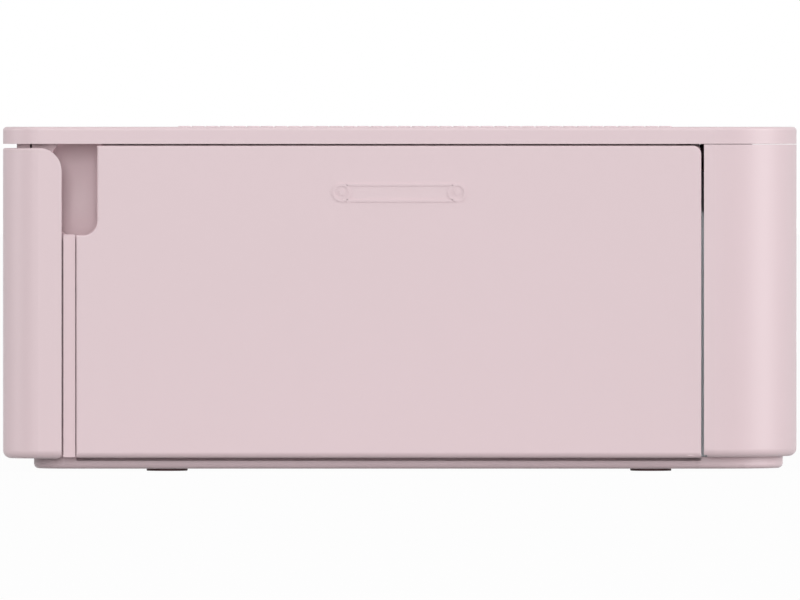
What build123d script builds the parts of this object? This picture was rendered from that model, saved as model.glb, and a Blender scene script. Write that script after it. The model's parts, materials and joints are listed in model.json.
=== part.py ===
"""Compact desktop photo printer.

Millimetres, +Z up. The origin is the middle of the footprint on the table. The front, where
the paper cassette goes in, faces -Y, and the ink cassette door is on the +X side.
"""

from build123d import *
import math
import os

# Overall size
WIDTH = 182.2
DEPTH = 133.0
HEIGHT = 57.6

# The engine's heights, spools and motors follow the casing's height, the front spool its depth
RISE = HEIGHT / 57.6
REACH = DEPTH / 133.0

# Casing walls and the gaps between the casing pieces
SHELL_WALL = 2.2
FLANGE = 1.8
COVER_WALL = 2.0
DOOR_WALL = 2.0
LID_HEIGHT = 2.85
LID_SKIN = 1.8
LID_EDGE_ROUND = 0.6
LID_SEAM = 0.1
DOOR_TOP_GAP = 0.3
COVER_TOP_GAP = 0.7
FRONT_PLAN_RADIUS = 6.0
REAR_PLAN_RADIUS = 14.0
BOTTOM_ROUND = 1.3
FLANGE_REACH = 2.6
SHELL_FRONT_RETURN = 20.0
EDGE_ROUND = 0.3
SKIRT_HEIGHT = 2.3
MOVING_GAP = 0.3

# Base tray and feet
BASE_SIDE_INSET = 3.5
BASE_FRONT_INSET = 5.1
BASE_REAR_INSET = 2.3
BASE_FLOOR = 2.0
BASE_ROUND = 0.8
BASE_GROOVE_HEIGHT = 0.68
BASE_GROOVE_DEPTH = 1.6
FOOT_DROP = 0.4
FOOT_SINK = 0.6
FOOT_LENGTH = 13.0
FOOT_WIDTH = 6.8
FOOT_FIT = 0.1
FRONT_FOOT_INSET = 27.4
REAR_FOOT_INSET = 24.5
FOOT_SIDE_INSET = 11.6
PILLAR_RADIUS = 3.0
PILLAR_BORE = 1.4
PILLAR_TOP_GAP = 7.6
SCREW_HEAD_RADIUS = 2.5
SCREW_HEAD_DEPTH = 1.2
SCREW_HEAD_SINK = 0.2
SCREW_GRIP = 9.0
BOARD_POST_RADIUS = 2.2
BASE_VENT_Y = (-33.0, -11.0)
BASE_VENT_INSET = 2.0

# Front cover
WING_DEPTH = 9.9
WING_TOP_RADIUS = 3.8
WING_LOW_RADIUS = 0.8
COVER_AXIS_INSET = 2.5
COVER_AXIS_Z = 4.0
COVER_PIN_RADIUS = 0.7
COVER_EAR_RADIUS = 1.5
COVER_LUG_RADIUS = 1.3
COVER_EAR_WIDTH = 2.0
COVER_LUG_WIDTH = 4.0
COVER_HINGE_X = 70.0
FRAME_WALL = 2.0
FRAME_LEDGE = 1.5
FRAME_FOOT_INSET = 7.0
FRAME_FOOT_WALL = 2.0

# Ink door
STRIP_WIDTH = 2.0
STRIP_GAP = 0.15
STRIP_TOP = 39.6 * RISE
STRIP_SETBACK = 0.2
REAR_SHELL_SIDE = 15.75
DOOR_REAR_GAP = 0.45
SHELL_REBATE = 0.6
SHELL_LIP = 0.45
DOOR_BEAD_RADIUS = 1.8
DOOR_BEAD_INSET = 0.1
DOOR_PIN_RADIUS = 0.6
DOOR_LUG_RADIUS = 1.05
DOOR_LUG_SKIN = 0.5
DOOR_LUG_HEIGHT = 2.2
DOOR_LUG_LOW = 4.0
DOOR_LUG_TOP_GAP = 4.0
DOOR_LUG_GAP = 0.2
DOOR_PIN_REACH = 2.2
DOOR_RIB_INSET = (12.0, 14.0)
DOOR_RIB_HEIGHT = 0.4
DOOR_RIB_WIDTH = 1.0
DOOR_RIB_END = 4.0
NOTCH_WIDTH = 3.5
NOTCH_BOTTOM = 39.5 * RISE
NOTCH_RADIUS = 2.35
DOOR_TOP_ROUND = 0.8
DOOR_BOTTOM_ROUND = 0.9
DOOR_REAR_ROUND = 1.4
CATCH_Z = 22.0 * RISE
CATCH_INSET = 6.0
CATCH_WIDTH = 8.0
CATCH_THICKNESS = 1.2
CATCH_BARB = 0.8
CATCH_ROOM = 0.6

# Finger scoop
SCOOP_DEPTH = 4.5
SCOOP_HALF_WIDTH = 6.2
SCOOP_HALF_HEIGHT = 8.6
SCOOP_WALL = 1.6

# Engine datum sizes
SIDE_PLATE = 2.2
SIDE_FLANGE = 2.4
SIDE_FLANGE_HEIGHT = 1.2
SIDE_FLANGE_INSET = (6.0, 12.0)
ENGINE_PLATE = 1.2
ENGINE_INSET = 8.7
ENGINE_SPAN = 123.0
ENGINE_FRONT_INSET = 21.5
ENGINE_REAR_INSET = 14.5
ENGINE_TOP = 50.0 * RISE
PATH_Z = 20.4 * RISE
PATH_HALF_GAP = 0.3
PAPER_WIDTH = 102.0
RUNNING_FIT = 0.05

# Rollers
PLATEN_RADIUS = 6.0
PLATEN_CORE = 2.5
FEED_RADIUS = 3.5
FEED_SHAFT = 2.0
FEED_OFFSET = 13.0
PINCH_RADIUS = 3.0
PINCH_SHAFT = 1.2
PICKUP_RADIUS = 4.8
PICKUP_SHAFT = 2.0
PICKUP_OFFSET = -26.0
PICKUP_Z = 17.6 * RISE
TYRE_WIDTH = 14.0
TYRE_SPACING = 36.0

# Head arm
ARM_PIVOT_INSET = 4.0
ARM_PIVOT_Z = 42.0 * RISE
ARM_SHAFT_RADIUS = 2.0
ARM_BOSS_RADIUS = 3.2
ARM_SHEET = 1.2
HEAD_NOSE_WIDTH = 4.0
HEAD_GAP = 0.5
HEAD_SHOULDERS = (-4.5, 5.5)
HEAD_HEEL = (4.0, 5.0)
ARM_CHEEK = 2.0
PINCH_BOSS_RADIUS = 2.0
SINK_Y = (-5.0, 8.0)
SINK_SLOTS = (-3.0, 0.0, 3.0)
SINK_SLOT_WIDTH = 1.6
SINK_FLOOR = 4.0
SINK_ROOF = 2.0

# Gears
MODULE = 0.8
GEAR_WIDTH = 4.5
GEAR_GAP = 1.0
BACKLASH = 0.16
PINION_TEETH = 12
FEED_TEETH = 24
IDLER_TEETH = 15
PICKUP_TEETH = 20
TAKE_UP_TEETH = 30
PRESSURE_ANGLE = 20.0
GEAR_BORE = 1.5
MOTOR_LENGTH = 20.0
FEED_MOTOR_RADIUS = 11.5 * RISE
RIBBON_MOTOR_RADIUS = 9.5 * RISE
MOTOR_SHAFT = 1.0
MOTOR_BORE_DEPTH = 3.2
MOTOR_BOSS_HEIGHT = 1.2

# Ink cassette
SUPPLY_Y = -22.0 * REACH
TAKE_UP_Y = 30.0
SPOOL_Z = 34.8 * RISE
TUBE_RADIUS = 12.0 * RISE
TUBE_WALL = 1.2
JOURNAL_RADIUS = 4.0
SUPPLY_ROLL = 9.5 * RISE
TAKE_UP_ROLL = 6.5 * RISE
CASSETTE_LENGTH = 122.6
BAY_CLEARANCE = 1.0
FILM_THICKNESS = 0.3
FILM_WIDTH = 100.0
SLIT_HALF_ANGLE = 16.0
PEEL_BAR_RADIUS = 0.8
CAP = 1.5
CAP_GAP = 0.3
BRIDGE_THICKNESS = 4.0
BRIDGE_RISE = (5.0, 6.0)
GRIP_HALF_WIDTH = 6.0
SPOOL_FLANGE_WIDTH = 1.2
SPOOL_FLANGE_LIP = 0.8

# Openings in the casing
PAPER_OPENING_TOP = 31.5 * RISE
PAPER_OPENING_WIDTH = 118.0
TUNNEL_WALL = 1.5
TUNNEL_DEPTH = 14.0
CARD_SLOT_WIDTH = 25.0
CARD_SLOT_HEIGHT = 2.6
CARD_SLOT_RISE = 1.7
REAR_SLOT_LOW = 23.5 * RISE
REAR_SLOT_HEIGHT = 8.0
REAR_SLOT_WIDTH = 112.0
REAR_GROOVE = 0.2
REAR_GROOVE_HEIGHT = 1.7
REAR_GROOVE_Z = (22.4 * RISE, 41.4 * RISE)
VENT_COUNT = 12
VENT_PITCH = 3.2
VENT_WIDTH = 1.5
VENT_LOW = 34.0 * RISE
VENT_HIGH = 46.0 * RISE
VENT_INSET = 16.0
JACK_X_INSET = 21.0
JACK_Z = 11.0
JACK_BORE = 2.9
JACK_DEPTH = 10.0
JACK_HALF = 5.5
JACK_BACK_WALL = 2.0
JACK_RIM = 1.0
USB_Y = -20.0 * REACH
USB_WIDTH = 9.2
USB_HEIGHT = 3.4
USB_LENGTH = 7.8
USB_SHEET = 0.4
USB_TONGUE_HALF = 3.2
USB_TONGUE_THICKNESS = 0.7

# Boards
BOARD_THICKNESS = 1.4
MAIN_BOARD_Z = 36.0 * RISE
BOARD_TAB_LENGTH = 8.1
MAIN_BOARD_REAR = 12.0
MAIN_BOARD_INSET = 9.0
BOARD_TAB_HALF = 6.0
BOARD_EDGE_GAP = 1.0
BOARD_GEARBOX_GAP = 3.0
CHIPS = ((12.0, 12.0, -24.0), (8.0, 6.0, -7.0))
CHIP_HEIGHT = 1.4
CARD_SOCKET_LENGTH = 26.8
CARD_SOCKET_WALL = 0.6
CARD_SOCKET_BACK = 1.5
CARD_SOCKET_ROOF = 0.5
CARD_HEIGHT = 2.3
CARD_EDGE = 0.9
CARD_SOCKET_GAP = 0.2
KEY_BOARD_THICKNESS = 0.8

# Screen and keys
WINDOW_WIDTH = 84.0
WINDOW_DEPTH = 64.0
WINDOW_X = -38.0
WINDOW_Y = -12.0
WINDOW_SINK = 1.0
WINDOW_RADIUS = 3.0
WINDOW_FIT = 0.1
PANEL_WIDTH = 77.0
PANEL_DEPTH = 57.0
PANEL_THICKNESS = 2.4
PANEL_BEZEL = 2.0
KEY_GAP = 0.25
KEY_TRAVEL = 0.5
KEY_SINK = 0.1
KEY_FLANGE = 0.8
KEY_BOARD_DROP = 4.1
KEY_BOARD_X = (27.0, 28.5)
KEY_BOARD_Y = (33.5, 50.0)
KEY_BOSS_X = (24.0, 26.0)
KEY_BOSS_Y = (30.0, 40.0)
KEY_BOSS_RADIUS = 1.8
SWITCH_HEIGHT = 1.1
SWITCH_HALF = 1.5
RING_X = 50.0
RING_Y = -14.0
RING_RADIUS = 15.0
OK_RADIUS = 7.0
SMALL_KEY = (11.0, 5.0)
PRINT_KEY = (20.0, 7.0)
SMALL_KEYS = {"menu_button": (32.0, 14.0), "edit_button": (50.0, 14.0), "back_button": (68.0, 14.0)}
POWER_KEY = (72.0, 32.0)
PRINT_KEY_AT = (50.0, -42.0)

# Datum planes worked out from the sizes above
RIGHT = WIDTH / 2
LEFT = -RIGHT
FRONT = -DEPTH / 2
REAR = DEPTH / 2
LID_LOW = HEIGHT - LID_HEIGHT
LID_UNDER = HEIGHT - LID_SKIN
FLOOR = FOOT_DROP + BASE_FLOOR
KEY_BOARD_Z = HEIGHT - KEY_BOARD_DROP
WING_END = FRONT + WING_DEPTH
COVER_TOP = LID_LOW - COVER_TOP_GAP
COVER_LOW = SKIRT_HEIGHT - 0.15
COVER_AXIS_Y = FRONT + COVER_AXIS_INSET
STRIP_FRONT = WING_END + MOVING_GAP
STRIP_REAR = STRIP_FRONT + STRIP_WIDTH
DOOR_FRONT = STRIP_REAR + STRIP_GAP
SHELL_FRONT = REAR - REAR_SHELL_SIDE
DOOR_REAR = SHELL_FRONT - DOOR_REAR_GAP
DOOR_AXIS_X = RIGHT - DOOR_BEAD_RADIUS
DOOR_AXIS_Y = DOOR_REAR - DOOR_BEAD_RADIUS
DOOR_TOP = LID_LOW - DOOR_TOP_GAP
DOOR_INNER = RIGHT - DOOR_WALL
FRAME_SIDE = RIGHT - COVER_WALL - MOVING_GAP
FRAME_FRONT = FRONT + COVER_WALL + MOVING_GAP
FRAME_TOP = LID_UNDER - 0.1
FRAME_SHELF = COVER_AXIS_Z + COVER_EAR_RADIUS + 0.4
SIDE_OUTER = DOOR_INNER - 0.5
SIDE_INNER = SIDE_OUTER - SIDE_PLATE
PLATE_RIGHT = RIGHT - ENGINE_INSET
PLATE_LEFT = PLATE_RIGHT - ENGINE_PLATE - ENGINE_SPAN
GEAR_HIGH = PLATE_LEFT - GEAR_GAP
GEAR_LOW = GEAR_HIGH - GEAR_WIDTH
GEARBOX = GEAR_LOW - GEAR_GAP
ENGINE_MID = (PLATE_LEFT + PLATE_RIGHT) / 2
ENGINE_FRONT = FRONT + ENGINE_FRONT_INSET
ENGINE_REAR = REAR - ENGINE_REAR_INSET
ARM_PIVOT_Y = ENGINE_FRONT + ARM_PIVOT_INSET
TIE_FOLD_Y = TAKE_UP_Y + TUBE_RADIUS + 0.8
PLATEN_Z = PATH_Z - PLATEN_RADIUS
FEED_Z = PATH_Z - PATH_HALF_GAP - FEED_RADIUS
PINCH_Z = PATH_Z + PATH_HALF_GAP + PINCH_RADIUS
ARM_SHEET_Z = SPOOL_Z + TUBE_RADIUS + 0.5
CASSETTE_RIGHT = PLATE_RIGHT + ENGINE_PLATE + 2.0
CASSETTE_LEFT = CASSETTE_RIGHT - CASSETTE_LENGTH
BOARD_RIGHT = GEARBOX - BOARD_GEARBOX_GAP
BOARD_TAB_LEFT = LEFT + SHELL_WALL + BOARD_EDGE_GAP
BOARD_LEFT = BOARD_TAB_LEFT + BOARD_TAB_LENGTH


# ---------------------------------------------------------------- shape helpers


def block(x_span, y_span, z_span):
    """A box between the two ends of each span."""
    size = [high - low for low, high in (x_span, y_span, z_span)]
    centre = [(high + low) / 2 for low, high in (x_span, y_span, z_span)]
    return Pos(*centre) * Box(*size)


def rod_x(radius, x_span, y, z):
    """A cylinder along X."""
    middle = (x_span[0] + x_span[1]) / 2
    return Pos(middle, y, z) * Rot(0, 90, 0) * Cylinder(radius, x_span[1] - x_span[0])


def rod_y(radius, x, y_span, z):
    """A cylinder along Y."""
    middle = (y_span[0] + y_span[1]) / 2
    return Pos(x, middle, z) * Rot(90, 0, 0) * Cylinder(radius, y_span[1] - y_span[0])


def rod_z(radius, x, y, z_span):
    """A cylinder along Z."""
    middle = (z_span[0] + z_span[1]) / 2
    return Pos(x, y, middle) * Cylinder(radius, z_span[1] - z_span[0])


def section_x(points, x_span):
    """A prism along X of an outline given as (y, z) points."""
    plane = Plane(origin=(x_span[0], 0, 0), x_dir=(0, 1, 0), z_dir=(1, 0, 0))
    face = plane * Polygon(*points, align=None)
    return extrude(face, x_span[1] - x_span[0], dir=(1, 0, 0))


def plan_slab(x_half, y_span, radii, z_span):
    """A slab with rounded plan corners: radii are (front, rear)."""
    plan = Pos(0, (y_span[0] + y_span[1]) / 2) * Rectangle(2 * x_half, y_span[1] - y_span[0])
    if radii[0] > 0:
        plan = fillet(plan.vertices().group_by(Axis.Y)[0], radii[0])
    if radii[1] > 0:
        plan = fillet(plan.vertices().group_by(Axis.Y)[-1], radii[1])
    return extrude(Pos(0, 0, z_span[0]) * plan, z_span[1] - z_span[0])


def side_profile(y_span, z_span, radii, x_span):
    """A rounded rectangle seen from the side: radii go front low, front top, rear low, rear top."""
    middle = ((y_span[0] + y_span[1]) / 2, (z_span[0] + z_span[1]) / 2)
    face = Pos(*middle) * Rectangle(y_span[1] - y_span[0], z_span[1] - z_span[0])
    corners = [
        (y_span[0], z_span[0]),
        (y_span[0], z_span[1]),
        (y_span[1], z_span[0]),
        (y_span[1], z_span[1]),
    ]
    for corner, radius in zip(corners, radii):
        if radius > 0:
            face = fillet(face.vertices().sort_by_distance((*corner, 0))[0], radius)
    plane = Plane(origin=(x_span[0], 0, 0), x_dir=(0, 1, 0), z_dir=(1, 0, 0))
    return extrude(plane * face, x_span[1] - x_span[0], dir=(1, 0, 0))


def stadium_x(radius, y_span, z, x_span):
    """A long round-ended bar along X whose end circles are centred on the Y span."""
    round_ends = rod_x(radius, x_span, y_span[0], z) + rod_x(radius, x_span, y_span[1], z)
    return round_ends + block(x_span, y_span, (z - radius, z + radius))


def pill_z(size, centre, z_span):
    """A round-ended key shape standing along Z."""
    slot = SlotOverall(size[0], size[1])
    return extrude(Pos(centre[0], centre[1], z_span[0]) * slot, z_span[1] - z_span[0])


# ---------------------------------------------------------------- casing

PILLARS = [
    (LEFT + 11.0, REAR - 10.5),
    (RIGHT - 11.0, REAR - 10.5),
    (LEFT + 7.5, FRONT + 12.5),
    (LEFT + 7.5, 24.0),
]
PILLAR_TOP = HEIGHT - PILLAR_TOP_GAP
BOARD_POSTS = [
    (x, y)
    for x in (BOARD_LEFT + 3.5, BOARD_RIGHT - 3.5)
    for y in (FRONT + 14.5, MAIN_BOARD_REAR - 4.0)
]


def foot_places():
    """Centres of the four feet."""
    foot_x = RIGHT - FOOT_SIDE_INSET
    return [(x, y) for x in (-foot_x, foot_x) for y in (FRONT + FRONT_FOOT_INSET, REAR - REAR_FOOT_INSET)]


def base_tray():
    """Bottom pan with its screw pillars, board posts, foot pockets and air slots."""
    y_span = (FRONT + BASE_FRONT_INSET, REAR - BASE_REAR_INSET)
    corner = (FRONT_PLAN_RADIUS, REAR_PLAN_RADIUS - BASE_SIDE_INSET)
    tray = plan_slab(RIGHT - BASE_SIDE_INSET, y_span, corner, (FOOT_DROP, FLOOR))
    tray = fillet(tray.faces().sort_by(Axis.Z)[0].edges(), BASE_ROUND)
    for x, y in PILLARS:
        tray += rod_z(PILLAR_RADIUS, x, y, (FLOOR, PILLAR_TOP))
        tray -= rod_z(PILLAR_BORE, x, y, (FOOT_DROP, PILLAR_TOP))
        tray -= rod_z(SCREW_HEAD_RADIUS + FOOT_FIT, x, y, (FOOT_DROP, FOOT_DROP + SCREW_HEAD_DEPTH))
    for x, y in BOARD_POSTS:
        tray += rod_z(BOARD_POST_RADIUS, x, y, (FLOOR, MAIN_BOARD_Z))
    for x, y in foot_places():
        pocket = (FOOT_LENGTH + 2 * FOOT_FIT, FOOT_WIDTH + 2 * FOOT_FIT)
        tray -= pill_z(pocket, (x, y), (FOOT_DROP, FOOT_DROP + FOOT_SINK))
    groove_x = (RIGHT - BASE_SIDE_INSET - BASE_GROOVE_DEPTH, RIGHT)
    tray -= block(groove_x, (DOOR_FRONT, DOOR_REAR), (FLOOR - BASE_GROOVE_HEIGHT, FLOOR))
    for index in range(VENT_COUNT):
        x = BOARD_LEFT + BASE_VENT_INSET + index * VENT_PITCH
        tray -= block((x, x + VENT_WIDTH), BASE_VENT_Y, (FOOT_DROP, FLOOR))
    return tray


def feet():
    """Four rubber pads sunk in the base."""
    pads = [
        pill_z((FOOT_LENGTH, FOOT_WIDTH), place, (0, FOOT_DROP + FOOT_SINK)) for place in foot_places()
    ]
    return Compound(children=pads)


def base_screws():
    """Screws driven up through the base into the pillars."""
    screws = []
    for x, y in PILLARS:
        under_head = FOOT_DROP + SCREW_HEAD_DEPTH
        head = rod_z(SCREW_HEAD_RADIUS, x, y, (FOOT_DROP + SCREW_HEAD_SINK, under_head))
        shank = rod_z(PILLAR_BORE - RUNNING_FIT, x, y, (under_head, FLOOR + SCREW_GRIP))
        screws.append(head + shank)
    return Compound(children=screws)


def rear_slot_span():
    """The X span of the rear paper slot."""
    return (ENGINE_MID - REAR_SLOT_WIDTH / 2, ENGINE_MID + REAR_SLOT_WIDTH / 2)


def housing_shell():
    """Left side, back and rear corners, with the rear paper slot, air vents and socket holes."""
    radii = (FRONT_PLAN_RADIUS, REAR_PLAN_RADIUS)
    top = LID_LOW - LID_SEAM
    shell = plan_slab(RIGHT, (FRONT, REAR), radii, (FLOOR, top))
    shell = fillet(shell.faces().sort_by(Axis.Z)[0].edges(), BOTTOM_ROUND)
    inner = [radius - SHELL_WALL for radius in radii]
    flange = SHELL_WALL + FLANGE_REACH
    shell -= plan_slab(
        RIGHT - SHELL_WALL, (FRONT + SHELL_WALL, REAR - SHELL_WALL), inner, (FLOOR + FLANGE, top)
    )
    shell -= plan_slab(
        RIGHT - flange, (FRONT + flange, REAR - flange), (1.0, REAR_PLAN_RADIUS - flange), (FLOOR, top)
    )
    shell -= block((LEFT, RIGHT), (FRONT, STRIP_FRONT), (FLOOR, top))
    shell -= block((0, RIGHT), (FRONT, SHELL_FRONT), (FLOOR, top))
    shell -= block((LEFT + SHELL_FRONT_RETURN, RIGHT), (FRONT, 0), (FLOOR, top))
    rebate_y = (SHELL_FRONT, SHELL_FRONT + SHELL_REBATE)
    shell -= block((RIGHT - flange, RIGHT - SHELL_LIP), rebate_y, (FLOOR, top))
    slot_z = (REAR_SLOT_LOW, REAR_SLOT_LOW + REAR_SLOT_HEIGHT)
    shell -= block(rear_slot_span(), (REAR - 2 * SHELL_WALL, REAR), slot_z)
    groove_x = (rear_slot_span()[0] - 2, rear_slot_span()[1] + 2)
    for z in REAR_GROOVE_Z:
        z_span = (z - REAR_GROOVE_HEIGHT / 2, z + REAR_GROOVE_HEIGHT / 2)
        shell -= block(groove_x, (REAR - REAR_GROOVE, REAR), z_span)
    for index in range(VENT_COUNT):
        x = LEFT + VENT_INSET + index * VENT_PITCH
        shell -= block((x, x + VENT_WIDTH), (REAR - SHELL_WALL, REAR), (VENT_LOW, VENT_HIGH))
    shell -= rod_y(JACK_BORE + JACK_RIM, LEFT + JACK_X_INSET, (REAR - SHELL_WALL, REAR), JACK_Z)
    usb_z = MAIN_BOARD_Z + BOARD_THICKNESS + USB_HEIGHT / 2
    usb_half = USB_WIDTH / 2
    shell -= block(
        (LEFT, LEFT + SHELL_WALL),
        (USB_Y - usb_half, USB_Y + usb_half),
        (usb_z - USB_HEIGHT / 2, usb_z + USB_HEIGHT / 2),
    )
    return shell


def top_cover():
    """Lid with the screen recess, key holes and screw bosses."""
    radii = (FRONT_PLAN_RADIUS, REAR_PLAN_RADIUS)
    lid = plan_slab(RIGHT, (FRONT, REAR), radii, (LID_LOW, HEIGHT))
    lid = fillet(lid.faces().sort_by(Axis.Z)[-1].edges(), LID_EDGE_ROUND)
    inner = [radius - SHELL_WALL for radius in radii]
    lid -= plan_slab(
        RIGHT - SHELL_WALL, (FRONT + SHELL_WALL, REAR - SHELL_WALL), inner, (LID_LOW, LID_UNDER)
    )
    grown = (WINDOW_WIDTH + 2 * WINDOW_FIT, WINDOW_DEPTH + 2 * WINDOW_FIT)
    lid -= window_shape(*grown, (HEIGHT - WINDOW_SINK, HEIGHT))
    open_size = (PANEL_WIDTH - 2 * PANEL_BEZEL, PANEL_DEPTH - 2 * PANEL_BEZEL)
    lid -= window_shape(*open_size, (LID_UNDER, HEIGHT))
    for cutter in key_holes():
        lid -= cutter
    for x, y in PILLARS:
        lid += rod_z(PILLAR_RADIUS, x, y, (PILLAR_TOP, LID_UNDER))
    for x in (RING_X - KEY_BOSS_X[0], RING_X + KEY_BOSS_X[1]):
        for y in (RING_Y - KEY_BOSS_Y[0], RING_Y + KEY_BOSS_Y[1]):
            lid += rod_z(KEY_BOSS_RADIUS, x, y, (KEY_BOARD_Z, LID_UNDER))
    return lid


def window_shape(width, depth, z_span):
    """The rounded rectangle of the screen, standing along Z."""
    plan = RectangleRounded(width, depth, WINDOW_RADIUS)
    return extrude(Pos(WINDOW_X, WINDOW_Y, z_span[0]) * plan, z_span[1] - z_span[0])


def screen_window():
    """Glass over the display."""
    return window_shape(WINDOW_WIDTH, WINDOW_DEPTH, (HEIGHT - WINDOW_SINK, HEIGHT - 0.05))


def lcd_panel():
    """Display panel held under the lid."""
    z_span = (LID_UNDER - PANEL_THICKNESS, LID_UNDER)
    return window_shape(PANEL_WIDTH, PANEL_DEPTH, z_span)


# ---------------------------------------------------------------- keys


def key_holes():
    """Cutters for every key, a running gap larger than the key."""
    z_span = (LID_UNDER, HEIGHT)
    cutters = [rod_z(RING_RADIUS + KEY_GAP, RING_X, RING_Y, z_span)]
    grown = (SMALL_KEY[0] + 2 * KEY_GAP, SMALL_KEY[1] + 2 * KEY_GAP)
    cutters += [pill_z(grown, place, z_span) for place in SMALL_KEYS.values()]
    cutters.append(rod_z(SMALL_KEY[1] / 2 + KEY_GAP, *POWER_KEY, z_span))
    grown = (PRINT_KEY[0] + 2 * KEY_GAP, PRINT_KEY[1] + 2 * KEY_GAP)
    cutters.append(pill_z(grown, PRINT_KEY_AT, z_span))
    return cutters


KEY_TOP = HEIGHT - KEY_SINK
KEY_STEM = (KEY_BOARD_Z + SWITCH_HEIGHT + KEY_TRAVEL + 0.1, LID_UNDER - 0.1)


def finished_key(cap, flange):
    """A key cap with a softened top edge, on its retaining flange."""
    cap = fillet(cap.faces().sort_by(Axis.Z)[-1].edges(), EDGE_ROUND)
    return cap + flange


def pill_key(size, place):
    """A round-ended key."""
    cap = pill_z(size, place, (LID_UNDER - 0.1, KEY_TOP))
    flange = pill_z((size[0] + 2 * KEY_FLANGE, size[1] + 2 * KEY_FLANGE), place, KEY_STEM)
    return finished_key(cap, flange)


def round_key(radius, place):
    """A round key."""
    cap = rod_z(radius, *place, (LID_UNDER - 0.1, KEY_TOP))
    flange = rod_z(radius + KEY_FLANGE, *place, KEY_STEM)
    return finished_key(cap, flange)


def ok_button():
    """Centre key inside the navigation ring."""
    cap = rod_z(OK_RADIUS, RING_X, RING_Y, (KEY_STEM[0], KEY_TOP))
    return fillet(cap.faces().sort_by(Axis.Z)[-1].edges(), EDGE_ROUND)


def navigation_ring():
    """Four-way ring round the centre key, dished towards the middle."""
    place = (RING_X, RING_Y)
    ring = round_key(RING_RADIUS, place)
    ring -= rod_z(OK_RADIUS + KEY_GAP, *place, (KEY_STEM[0], KEY_TOP))
    return ring


def button_board():
    """Board under the keys, screwed to the lid's bosses."""
    x_span = (RING_X - KEY_BOARD_X[0], RING_X + KEY_BOARD_X[1])
    y_span = (RING_Y - KEY_BOARD_Y[0], RING_Y + KEY_BOARD_Y[1])
    return block(x_span, y_span, (KEY_BOARD_Z - KEY_BOARD_THICKNESS, KEY_BOARD_Z))


def switch_places():
    """Every spot under a key that has a switch."""
    reach = (RING_RADIUS + OK_RADIUS) / 2
    places = [(RING_X, RING_Y), POWER_KEY, PRINT_KEY_AT, *SMALL_KEYS.values()]
    places += [(RING_X + dx * reach, RING_Y + dy * reach) for dx, dy in ((1, 0), (0, 1), (-1, 0), (0, -1))]
    return places


def tact_switches():
    """Dome switches on the key board."""
    z_span = (KEY_BOARD_Z, KEY_BOARD_Z + SWITCH_HEIGHT)
    half = SWITCH_HALF
    switches = [block((x - half, x + half), (y - half, y + half), z_span) for x, y in switch_places()]
    return Compound(children=switches)


# ---------------------------------------------------------------- front cover and chassis front

COVER_HINGES = (-COVER_HINGE_X, COVER_HINGE_X)


def ear_spans(x):
    """X spans of the cover's two ears beside the frame lug at x."""
    near = COVER_LUG_WIDTH / 2 + MOVING_GAP
    far = near + COVER_EAR_WIDTH
    return [(x - far, x - near), (x + near, x + far)]


def front_cover():
    """Fold-down front cover that wraps round both front corners."""
    z_span = (COVER_LOW, COVER_TOP)
    shell = plan_slab(RIGHT, (FRONT, REAR), (FRONT_PLAN_RADIUS, 0), z_span)
    shell = fillet(shell.faces().sort_by(Axis.Z)[0].edges(), BOTTOM_ROUND)
    shell = fillet(shell.faces().sort_by(Axis.Z)[-1].edges(), EDGE_ROUND)
    radii = (0, 0, WING_LOW_RADIUS, WING_TOP_RADIUS)
    shell = shell & side_profile((FRONT, WING_END), z_span, radii, (LEFT, RIGHT))
    hollow = (FRONT + COVER_WALL, REAR)
    shell -= plan_slab(RIGHT - COVER_WALL, hollow, (FRONT_PLAN_RADIUS - COVER_WALL, 0), z_span)
    for x in COVER_HINGES:
        lug_x = (x - COVER_LUG_WIDTH / 2 - MOVING_GAP, x + COVER_LUG_WIDTH / 2 + MOVING_GAP)
        notch_y = COVER_AXIS_Y - COVER_LUG_RADIUS - 0.2
        shell -= block(lug_x, (notch_y, COVER_AXIS_Y), (COVER_LOW, COVER_AXIS_Z + COVER_EAR_RADIUS))
        for span in ear_spans(x):
            shell += rod_x(COVER_EAR_RADIUS, span, COVER_AXIS_Y, COVER_AXIS_Z)
            shell -= rod_x(COVER_PIN_RADIUS, span, COVER_AXIS_Y, COVER_AXIS_Z)
    return shell


def front_cover_pins():
    """Hinge pins pressed in the cover's ears."""
    pins = []
    for x in COVER_HINGES:
        spans = ear_spans(x)
        pins.append(rod_x(COVER_PIN_RADIUS, (spans[0][0], spans[1][1]), COVER_AXIS_Y, COVER_AXIS_Z))
    return Compound(children=pins)


def paper_opening():
    """X and Z spans of the paper cassette opening."""
    half = PAPER_OPENING_WIDTH / 2
    return (ENGINE_MID - half, ENGINE_MID + half), (FRAME_SHELF + FRAME_LEDGE, PAPER_OPENING_TOP)


def card_slot_centre():
    """X and Z of the memory card slot."""
    return (BOARD_LEFT + BOARD_RIGHT) / 2, MAIN_BOARD_Z + BOARD_THICKNESS + CARD_SLOT_RISE


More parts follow.
